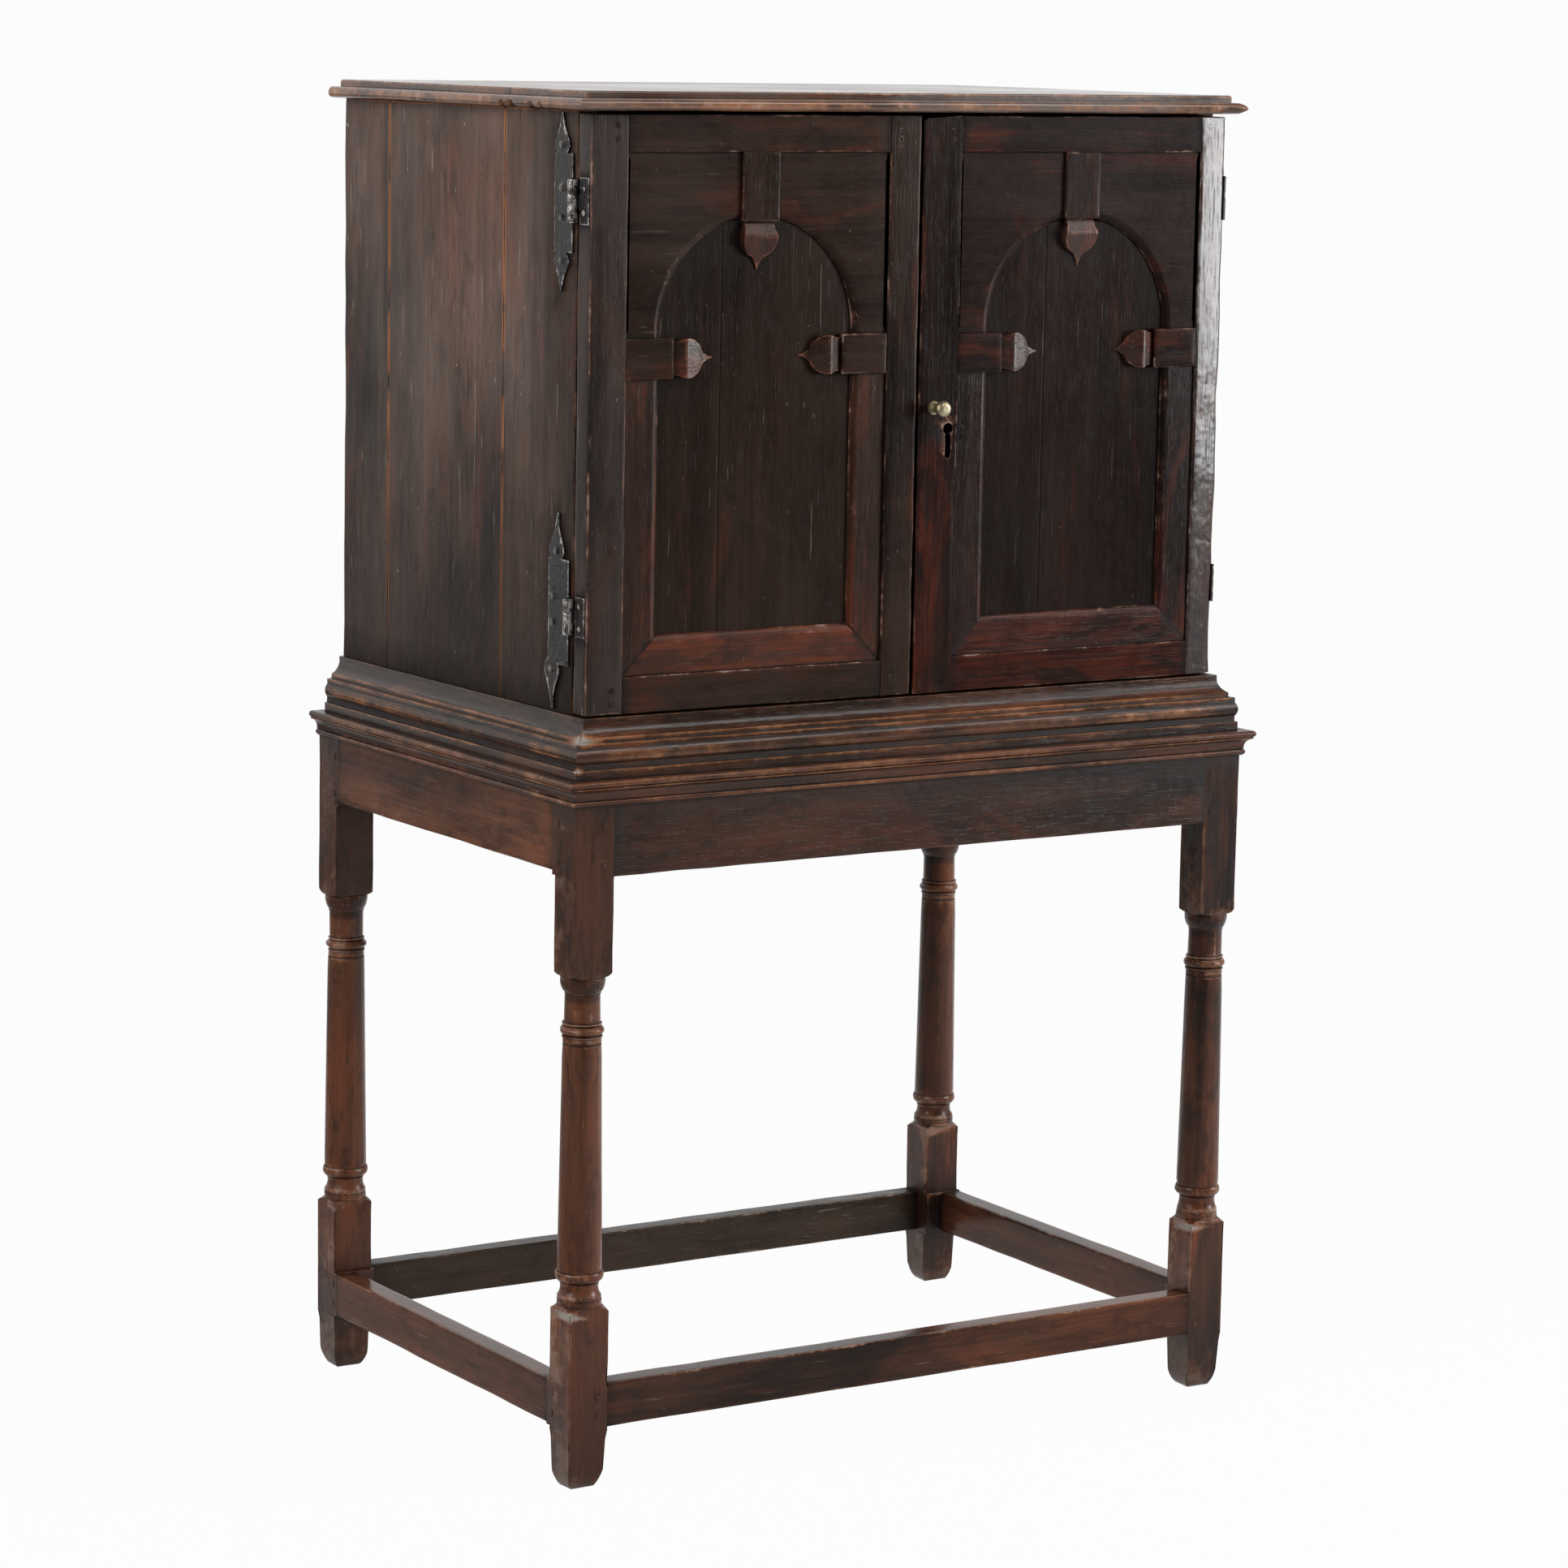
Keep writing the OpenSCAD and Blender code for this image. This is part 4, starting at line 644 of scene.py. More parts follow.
RIGHT_WOODS = DoorWoods(
    frame=OakFinish(
        "oak_right_frame", (0.0050, 0.0027, 0.0022), (0.019, 0.0088, 0.0064),
        flare=(0.082, 0.0160, 0.0078), flares=0.7, flare_low=0.56, low_red=0.35,
        rubbed=(0.11, 0.046, 0.028), sheen_level=0.07, shine=0.27, scratches=0.12,
        relief=0.00028),
    outer=OakFinish(
        "oak_right_outer", (0.0055, 0.0032, 0.0028), (0.026, 0.014, 0.0108),
        flare=(0.07, 0.0145, 0.0075), flares=0.4, rubbed=(0.13, 0.075, 0.055), sheen_level=0.42,
        shine=0.18, relief=0.0003, ripple=4.5, scratches=0.15),
    panel=OakFinish(
        "oak_right_panel", (0.0055, 0.0031, 0.0025), (0.0175, 0.0092, 0.0070),
        flare=(0.040, 0.011, 0.0068), flares=0.55, flare_low=0.55, scratches=0.12,
        rubbed=(0.07, 0.032, 0.02), sheen_level=0.05, contrast=0.2, shine=0.27, relief=0.0003),
    trim=OakFinish(
        "oak_right_trim", (0.0060, 0.0030, 0.0024), (0.025, 0.0102, 0.0070),
        flare=(0.085, 0.017, 0.008), flares=0.8, flare_low=0.58, low_red=0.5,
        rubbed=(0.13, 0.055, 0.033), sheen_level=0.15, shine=0.26, scratches=0.12,
        relief=0.0003),
    drops=OakFinish(
        "oak_right_drops", (0.010, 0.0050, 0.0038), (0.046, 0.0185, 0.0125),
        flare=(0.11, 0.024, 0.0115), rubbed=(0.21, 0.075, 0.038), scratches=0.12, flares=0.7,
        sheen_level=0.3, shine=0.3, rub_start=0.46))


# Working a solid


@dataclass(frozen=True)
class Edges:
    """How a piece's edges are worked.

    Attributes:
        soften: Width of the chamfer on exposed arrises.
        wear: Depth of wood lost there.
        reach: How far from an arris the wear shows.
        step: Distance between cuts along a long face.
        least: Length under which an edge isn't worn.
        border: Width of the strips round broad faces, or 0 for none.
        rings: Whether faces are cut beside ring-shaped seams.
        cuts: Further cuts, each an axis and a place on it.
        scars: Bruises, each a middle and a radius; on worn corners their pale mark is a painted
            highlight.
    """

    soften: float
    wear: float
    reach: float
    step: float
    least: float = 0.8 * MM
    border: float = 0.0
    rings: bool = False
    cuts: tuple[tuple[int, float], ...] = ()
    scars: tuple[tuple[float, float, float, float], ...] = ()


def islands(bm: bmesh.types.BMesh) -> list[list[Vert]]:
    """Lists the vertices of each loose solid of a mesh."""
    bm.verts.ensure_lookup_table()
    bm.verts.index_update()
    seen: set[int] = set()
    groups = []
    for start in bm.verts:
        if start.index in seen:
            continue
        seen.add(start.index)
        group, ends = [], [start]
        while ends:
            vert = ends.pop()
            group.append(vert)
            for edge in vert.link_edges:
                other = edge.other_vert(vert)
                if other.index not in seen:
                    seen.add(other.index)
                    ends.append(other)
        groups.append(group)
    return groups


def spans(group: list[Vert]) -> list[Band]:
    """Lists the lowest and highest place of some vertices on each axis."""
    return [(min(v.co[i] for v in group), max(v.co[i] for v in group)) for i in range(3)]


def add_object(name: str, data: bpy.types.ID) -> bpy.types.Object:
    """Makes an object of a mesh, lamp or camera and puts it in the scene."""
    obj = bpy.data.objects.new(name, data)
    bpy.context.scene.collection.objects.link(obj)
    return obj


class Workshop:
    """The frame's solids, merged, and the surfaces round each of them."""

    MERGE = 0.002 * MM
    FLAT = math.radians(0.6)
    TOUCH = 0.4 * MM
    # Rays that feel how shut in a point is: how many, how far, from how high, and their lean
    RAYS = 7
    LOOK = 13 * MM
    LIFT = 1.3 * MM
    RAY_UP = 0.55
    RAY_OUT = 0.83

    def __init__(self, frame: dict) -> None:
        """Merges a copy of each node and lays all of them in one search tree.

        Args:
            frame: The loaded frame.
        """
        self.frame = frame
        self.solids: dict[str, bmesh.types.BMesh] = {}
        self.owners: list[int] = []
        points: list[Vector] = []
        faces: list[list[int]] = []
        count = 0
        for node, obj in frame["nodes"].items():
            bm = bmesh.new()
            bm.from_mesh(obj.data)
            bmesh.ops.remove_doubles(bm, verts=bm.verts, dist=self.MERGE)
            layer = bm.verts.layers.int.new("solid")
            for group in islands(bm):
                count += 1
                for vert in group:
                    vert[layer] = count
            base = len(points)
            points += [v.co.copy() for v in bm.verts]
            for face in bm.faces:
                faces.append([base + v.index for v in face.verts])
                self.owners.append(face.verts[0][layer])
            bmesh.ops.dissolve_limit(bm, angle_limit=self.FLAT, verts=bm.verts, edges=bm.edges)
            self.solids[node] = bm
        self.tree = BVHTree.FromPolygons(points, faces)
        record = frame["record"]
        self.slots = {part["node"]: part["material_slot"] for part in record["subparts"]}
        self.bodies = {node: body for body, nodes in record["behaviour"]["bodies"].items()
                       for node in nodes}

    def is_free(self, point: Vector, owner: int) -> bool:
        """Returns whether no other solid touches a point of one solid."""
        return all(self.owners[hit[2]] == owner
                   for hit in self.tree.find_nearest_range(point, self.TOUCH))

    def shut_share(self, point: Vector, normal: Vector) -> float:
        """Returns how far a surface point lies in a hollow, from 0 to 1."""
        start = point + normal * self.LIFT
        side = normal.orthogonal().normalized()
        other = normal.cross(side)
        hits = 0.0
        for i in range(self.RAYS):
            turn = 2 * math.pi * i / self.RAYS
            out = side * math.cos(turn) + other * math.sin(turn)
            ray = normal * self.RAY_UP + out * self.RAY_OUT
            reached = self.tree.ray_cast(start, ray, self.LOOK)[3]
            if reached is not None:
                hits += 1.0 - 0.5 * reached / self.LOOK
        return hits / self.RAYS

    def keep_solid(self, node: str, material: bpy.types.Material) -> None:
        """Dresses a solid of the frame whose own shape is right."""
        mesh = self.frame["nodes"][node].data
        mesh.materials.clear()
        mesh.materials.append(material)
        LOG.info("%s: kept", node)


class Piece:
    """One visible piece, started from a solid of the frame."""

    # Angles from which an edge is an arris, and from which it is shaded crisp
    CREASE = math.radians(28)
    CRISP = math.radians(46)
    # Spacing of the points that mark an edge
    SAMPLE = 2.0 * MM
    # Reach of the "near" measure, and of the dirt in a seam
    NEAR = 30.0 * MM
    SEAM = 2.6 * MM
    # Edges no longer than this are facets of a round hole's rim, not seams
    ROUND = 1.9 * MM
    # How near a seam a level edge lies to count as its ring
    TINY = 0.2 * MM
    # How seams are eased
    SEAM_EASE = 0.25 * MM
    SEAM_LEAST = 5 * MM
    # Curvature between which a bulge counts as worn, and how worn it then is; on crests and beads
    # this paleness is partly a painted highlight
    BULGE: Band = (10.0, 75.0)
    CREST = 0.85
    # A bruise's pale mark, a painted highlight where it lies on a worn corner, and its bite
    SCAR_MARK = 1.55
    SCAR_BITE = 2.2

    def __init__(self, shop: Workshop, node: str, word: str) -> None:
        """Takes a node's merged solid.

        Args:
            shop: Where the solids lie.
            node: Node of the frame that the piece stands for.
            word: Last word of the piece's name.
        """
        self.shop = shop
        self.node = node
        self.name = f"{node}_{word}"
        self.bm = shop.solids[node]
        floats = self.bm.verts.layers.float
        for measure in MEASURES:
            floats.new(measure)
        self.layers = {measure: floats[measure] for measure in MEASURES}
        self.worn = self.tree_of([])
        self.seams = self.tree_of([])

    @staticmethod
    def tree_of(points: list[Vector]) -> kdtree.KDTree:
        """Returns a search tree of points."""
        tree = kdtree.KDTree(len(points))
        for i, point in enumerate(points):
            tree.insert(point, i)
        tree.balance()
        return tree

    @staticmethod
    def distance(tree: kdtree.KDTree, point: Vector) -> float:
        """Returns the distance from a point to the nearest one of a tree."""
        found = tree.find(point)[2]
        return 1.0 if found is None else found

    def mark_edges(self, least: float) -> None:
        """Sorts points along the sharp edges into worn arrises and dark seams.

        Args:
            least: Length under which an edge isn't worn.
        """
        layer = self.bm.verts.layers.int["solid"]
        worn, seams = [], []
        for edge in self.bm.edges:
            if edge.calc_face_angle(0.0) < self.CREASE:
                continue
            start, end = (v.co.copy() for v in edge.verts)
            length = (end - start).length
            owner = edge.verts[0][layer]
            count = max(1, int(length / self.SAMPLE))
            outward = edge.is_convex and length >= least
            for i in range(count + 1):
                point = start.lerp(end, i / count)
                if outward and self.shop.is_free(point, owner):
                    worn.append(point)
                elif length > self.ROUND:
                    seams.append(point)
        self.worn, self.seams = self.tree_of(worn), self.tree_of(seams)

    def soften(self, edges: Edges) -> None:
        """Rounds the exposed arrises and eases the seams a little."""
        for tree, width, least in ((self.worn, edges.soften, 2.5 * edges.soften),
                                   (self.seams, self.SEAM_EASE, self.SEAM_LEAST)):
            if width <= 0:
                continue
            chosen = []
            for edge in self.bm.edges:
                if (edge.is_convex and edge.calc_length() > least
                        and edge.calc_face_angle(0.0) > self.CREASE):
                    middle = (edge.verts[0].co + edge.verts[1].co) / 2
                    if self.distance(tree, middle) < self.SAMPLE * 0.6:
                        chosen.append(edge)
            if chosen:
                bmesh.ops.bevel(self.bm, geom=chosen, offset=width, offset_type="OFFSET",
                                segments=2 if width > 0.3 * MM else 1, profile=0.5,
                                affect="EDGES", clamp_overlap=True, material=-1)

    def border_faces(self, edges: Edges) -> None:
        """Lays narrow strips along the outline of each broad flat face."""
        for width in (edges.border, edges.border * 2.0):
            broad = [f for f in self.bm.faces if f.calc_area() > (9 * edges.border) ** 2]
            if broad:
                bmesh.ops.inset_individual(self.bm, faces=broad, thickness=width,
                                           use_even_offset=True)

    def cut(self, axis: int, place: float) -> None:
        """Cuts all faces with one plane across an axis."""
        normal = Vector((0.0, 0.0, 0.0))
        normal[axis] = 1.0
        bmesh.ops.bisect_plane(self.bm, geom=[*self.bm.verts, *self.bm.edges, *self.bm.faces],
                               dist=1e-6, plane_co=normal * place, plane_no=normal)

    def ring_places(self) -> list[float]:
        """Lists heights a little above and below each ring-shaped seam."""
        rings = [round(e.verts[0].co.z, 4) for e in self.bm.edges
                 if abs(e.verts[0].co.z - e.verts[1].co.z) < 1e-5
                 and self.distance(self.seams, e.verts[0].co) < self.TINY]
        return [z + side * self.SEAM for z in sorted(set(rings)) for side in (-1.05, 1.05)]

    def cut_faces(self, edges: Edges) -> None:
        """Cuts the faces near each solid's ends and at steps between them."""
        rings = self.ring_places() if edges.rings else []
        boxes = [spans(group) for group in islands(self.bm)]
        for axis in range(3):
            places = [place for wanted, place in edges.cuts if wanted == axis]
            places += rings if axis == Grain.UP.value else []
            for low, high in (box[axis] for box in boxes):
                size = high - low
                if size > 3.2 * edges.reach:
                    for near in (0.5 * edges.reach, edges.reach):
                        places += [low + near, high - near]
                if size > 2.5 * edges.step:
                    count = int(size / edges.step)
                    places += [low + size * (i + 0.5) / count for i in range(count)]
            last = -math.inf
            for place in sorted(places):
                if place - last > 0.4 * MM:
                    self.cut(axis, place)
                    last = place

    def crest(self, vert: Vert) -> float:
        """Returns how strongly the surface bulges at a vertex, from 0 to 1."""
        bends = []
        for edge in vert.link_edges:
            way = edge.other_vert(vert).co - vert.co
            bends.append(-2.0 * vert.normal.dot(way) / max(way.length_squared, 1e-8))
        return self.CREST * ease(sum(bends) / len(bends), *self.BULGE)

    def age(self, edges: Edges) -> None:
        """Writes what the finish reads and takes wood off near the arrises."""
        keys = self.layers
        self.bm.normal_update()
        moves = []
        for vert in self.bm.verts:
            gap = self.distance(self.worn, vert.co)
            share = 1.0 - ease(gap, 0.0, edges.reach)
            dirt = 1.0 - ease(self.distance(self.seams, vert.co), 0.0, self.SEAM)
            # Bulges count as worn: partly worn wood, partly a painted highlight on crests and
            # beads
            wear = max(share, self.crest(vert) * (1.0 - dirt))
            # Bruises: a pale mark, which on worn corners is a painted highlight, and a bite of
            # wood
            for *middle, radius in edges.scars:
                scar_and_highlight = 1.0 - ease((vert.co - Vector(middle)).length, 0.4 * radius, radius)
                wear = max(wear, self.SCAR_MARK * scar_and_highlight)
                share = max(share, self.SCAR_BITE * scar_and_highlight)
                dirt *= 1.0 - scar_and_highlight
            vert[keys["wear"]] = wear
            vert[keys["near"]] = 1.0 - ease(gap, 0.0, self.NEAR)
            vert[keys["dirt"]] = dirt
            # How shut in the point is; the oak finishes darken by this as painted shade
            vert[keys["shut"]] = self.shop.shut_share(vert.co, vert.normal)
            bite = 0.45 + 0.9 * noise.noise(vert.co * 23.0) + 0.7 * noise.noise(vert.co * 83.0)
            moves.append(vert.normal * (-edges.wear * share * max(0.0, bite)))
        for vert, move in zip(self.bm.verts, moves):
            vert.co += move

    def number_boards(self) -> None:
        """Gives each loose solid a tone of its own, scattered by a sine."""
        for i, group in enumerate(islands(self.bm)):
            tone = math.sin(12.9898 * (i + 1) + 4.1 * len(self.node))
            for vert in group:
                vert[self.layers["board"]] = tone

    def smooth_rounds(self) -> None:
        """Shades curved strips smooth and leaves the arrises of flats crisp."""
        for face in self.bm.faces:
            face.smooth = True
        for edge in self.bm.edges:
            if len(edge.link_faces) == 2:
                edge.smooth = edge.calc_face_angle(0.0) < self.CRISP

    def work(self, edges: Edges, shape: Optional[Mould] = None) -> "Piece":
        """Works the solid into a worn piece.

        Args:
            edges: How its edges are worked.
            shape: Moves each vertex, for bent or worn-away forms.

        Returns:
            The piece itself.
        """
        self.mark_edges(edges.least)
        self.soften(edges)
        if edges.border > 0:
            self.border_faces(edges)
        self.cut_faces(edges)
        self.number_boards()
        self.age(edges)
        if shape:
            for vert in self.bm.verts:
                vert.co = shape(vert.co.copy())
        self.smooth_rounds()
        return self

    def lay_grain(self, oak: OakFinish, forced: Optional[Grain]) -> list[bpy.types.Material]:
        """Runs the fibres along the length of each loose solid.

        Args:
            oak: The finish.
            forced: Direction of the fibres where it isn't the length.

        Returns:
            The materials, in the order of the faces' slots.
        """
        used: list[Grain] = []
        for group in islands(self.bm):
            sizes = [high - low for low, high in spans(group)]
            grain = forced or Grain(sizes.index(max(sizes)))
            if grain not in used:
                used.append(grain)
            for vert in group:
                for face in vert.link_faces:
                    face.material_index = used.index(grain)
        return [oak.material(grain) for grain in used]

    def finish(self, look: Union[OakFinish, IronFinish, BrassFinish],
               grain: Optional[Grain] = None) -> bpy.types.Object:
        """Makes the object, dresses it and sets it on its body.

        Args:
            look: Its finish.
            grain: Direction of the fibres where it isn't the length.

        Returns:
            The object.
        """
        materials = (self.lay_grain(look, grain) if isinstance(look, OakFinish)
                     else [look.material()])
        mesh = bpy.data.meshes.new(self.name)
        self.bm.to_mesh(mesh)
        self.bm.free()
        for material in materials:
            mesh.materials.append(material)
        obj = add_object(self.name, mesh)
        obj.modifiers.new("crisp_flats", "WEIGHTED_NORMAL").keep_sharp = True
        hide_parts(self.node)
        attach(obj, self.shop.bodies[self.node])
        LOG.info("%s: %d faces", self.name, len(mesh.polygons))
        return obj


# Sub-assemblies


@dataclass
class Stand:
    """Turned legs, frieze rails, stretchers and the moulding round the top."""

    shop: Workshop
    oak: OakFinish = STAND_OAK
    rails: OakFinish = RAIL_OAK
    dim: OakFinish = BACK_RAIL_OAK
    low: OakFinish = LOW_OAK
    trim: OakFinish = LIP_OAK
    block: Edges = Edges(
        1.3 * MM, 1.1 * MM, 6 * MM, 36 * MM, rings=True,
        cuts=tuple((2, z * MM) for z in (1.0, 2.5, 5.0, 8.5, 13.0, 168.0, 174.0)),
        # Worn top corners of the lower leg blocks: a bite of wood and a pale painted highlight
        scars=tuple((x, y, 0.1745, 8.5 * MM) for x in (-0.395, 0.354) for y in (-0.260, 0.231)))
    rail: Edges = Edges(1.2 * MM, 0.8 * MM, 5 * MM, 36 * MM)
    strip: Edges = Edges(0.45 * MM, 0.5 * MM, 2.6 * MM, 24 * MM)
    foot_h: float = 19 * MM
    foot_r: float = 6.5 * MM
    foot_core: float = 14 * MM
    foot_curve: float = 2.4

    def foot_mould(self, node: str) -> Mould:
        """Returns a mould that rounds a leg's foot inwards.

        Args:
            node: The leg's node.

        Returns:
            The mould.
        """
        low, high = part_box(node)
        middle = (low + high) / 2

        def shape(co: Vector) -> Vector:
            """Draws the foot in towards its middle."""
            if co.z < self.foot_h:
                share = 1.0 - co.z / self.foot_h
                take = self.foot_r * (1.0 - math.sqrt(max(0.0, 1.0 - share ** self.foot_curve)))
                take *= 0.75 + 0.5 * noise.noise(Vector((co.x * 40, co.y * 40, 3.0)))
                for axis in (0, 1):
                    gap = co[axis] - middle[axis]
                    drawn = take * min(1.0, abs(gap) / self.foot_core)
                    co[axis] -= math.copysign(min(abs(gap), drawn), gap)
            return co

        return shape

    def build(self) -> None:
        """Builds and dresses the stand."""
        for depth in ("front", "back"):
            for side in Side:
                node = f"leg_{depth}_{side.word}"
                leg = Piece(self.shop, node, "turned")
                leg.work(self.block, self.foot_mould(node)).finish(self.oak)
        looks = {"front": (self.oak, self.low), "back": (self.dim, self.dim),
                 "left": (self.rails, self.low), "right": (self.rails, self.low)}
        for place, (rail, stretcher) in looks.items():
            for kind, oak in (("rail", rail), ("stretcher", stretcher)):
                Piece(self.shop, f"{kind}_{place}", "board").work(self.rail).finish(oak)
            if place != "back":
                moulding = Piece(self.shop, f"stand_moulding_{place}", "strip")
                moulding.work(self.strip).finish(self.trim)
        self.shop.keep_solid("stand_pegs", self.oak.material(Grain.DEEP))


@dataclass
class Carcase:
    """Boarded sides, back, bottom, shelf, base moulding and top."""

    shop: Workshop
    side: OakFinish = SIDE_OAK
    trim: OakFinish = BASE_OAK
    top: OakFinish = TOP_OAK
    inside: OakFinish = INSIDE_OAK
    nails: IronFinish = NAIL_IRON
    board: Edges = Edges(1.2 * MM, 0.8 * MM, 5 * MM, 36 * MM)
    strip: Edges = Edges(
        0.5 * MM, 0.6 * MM, 3.0 * MM, 24 * MM,
        cuts=(*((0, x * MM) for x in (-386, -382, -378)),
              *((1, y * MM) for y in (-251, -247, -243))),
        scars=((-0.384, -0.249, 0.735, 13 * MM), (-0.391, -0.256, 0.709, 8 * MM)))
    slab: Edges = Edges(0.6 * MM, 0.9 * MM, 4 * MM, 22 * MM)
    back_count: int = 4
    joint_gap: float = 0.22 * MM
    back_y: float = 266 * MM
    back_reach: float = 30 * MM
    back_wave: float = 3.5 * MM
    side_x: float = 374 * MM
    front_y: float = -239 * MM
    nose_low: float = 1331.5 * MM
    nose_reach: float = 9 * MM
    nose_wave: float = 0.9 * MM
    # Chips under the top's left nose: place along it, half width and height
    chips: tuple[Triple, ...] = (
        (-96 * MM, 5 * MM, 4.0 * MM), (-113 * MM, 7 * MM, 5.0 * MM),
        (-152 * MM, 6 * MM, 4.2 * MM), (-171 * MM, 4 * MM, 3.0 * MM))
    chip_in: float = 1.5 * MM
    chip_cut: float = 1.7 * MM
    # The top's right front corner, worn back
    corner_x: Band = (378 * MM, 393 * MM)
    corner_y: Band = (225 * MM, 250 * MM)
    corner_in: float = 3.0 * MM
    corner_mid: float = 6 * MM
    corner_top: float = 12 * MM

    def shut_joints(self) -> Mould:
        """Returns a mould that brings the back boards hard against each other."""
        low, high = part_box("back_boards")
        step = (high.x - low.x) / self.back_count

        def shape(co: Vector) -> Vector:
            """Moves a point beside a joint on to it."""
            joint = round((co.x - low.x) / step)
            place = low.x + joint * step
            if 0 < joint < self.back_count and abs(co.x - place) < self.joint_gap:
                co.x = place
            return co

        return shape

    def wavy_back(self, co: Vector) -> Vector:
        """Takes the back edge of a side back unevenly."""
        share = ease(co.y, self.back_y - self.back_reach, self.back_y)
        wave = (0.5 + 0.7 * noise.noise(Vector((co.x * 2, 0.0, co.z * 9)))
                + 0.4 * noise.noise(Vector((co.x * 2, 5.0, co.z * 31))))
        co.y -= self.back_wave * share * min(1.0, max(0.0, wave))
        return co

    def worn_nose(self, co: Vector) -> Vector:
        """Makes the top's nose uneven, with chips under its left edge."""
        out = max(abs(co.x) - self.side_x, self.front_y - co.y)
        if out <= 0:
            return co
        under = 1.0 - ease(co.z, self.nose_low, self.nose_low + self.nose_reach)
        wave = noise.noise(Vector((co.x * 14, co.y * 14, 1.0)))
        co.z += self.nose_wave * under * max(0.0, wave + 0.2)
        if co.x < -self.side_x:
            for middle, half, depth in self.chips:
                share = 1.0 - ease(abs(co.y - middle), half * 0.3, half)
                co.z += depth * share * under
                co.x += self.chip_in * share * under
        corner = ease(co.x, *self.corner_x) * ease(-co.y, *self.corner_y)
        co.x -= self.corner_in * corner
        if co.z < self.nose_low + self.corner_top:
            co.z += (self.nose_low + self.corner_mid - co.z) * 0.35 * corner
        return co

    def build(self) -> None:
        """Builds and dresses the carcase."""
        for side in Side:
            boards = Piece(self.shop, f"side_{side.word}", "boards")
            boards.work(self.board, self.wavy_back).finish(self.side)
        Piece(self.shop, "plinth_front", "board").work(self.board).finish(self.side)
        for node in ("back_boards", "bottom_board", "shelf", "shelf_cleats"):
            shape = self.shut_joints() if node == "back_boards" else None
            Piece(self.shop, node, "oak").work(self.board, shape).finish(self.inside)
        for place in ("front", "left", "right"):
            moulding = Piece(self.shop, f"base_moulding_{place}", "strip")
            moulding.work(self.strip).finish(self.trim)
        cuts = tuple((1, y + k * self.chip_cut) for y, _, _ in self.chips for k in range(-3, 4))
        top = Piece(self.shop, "top_boards", "slabs")
        top.work(replace(self.slab, cuts=cuts), self.worn_nose).finish(self.top)
        self.shop.keep_solid("case_nails", self.nails.material())


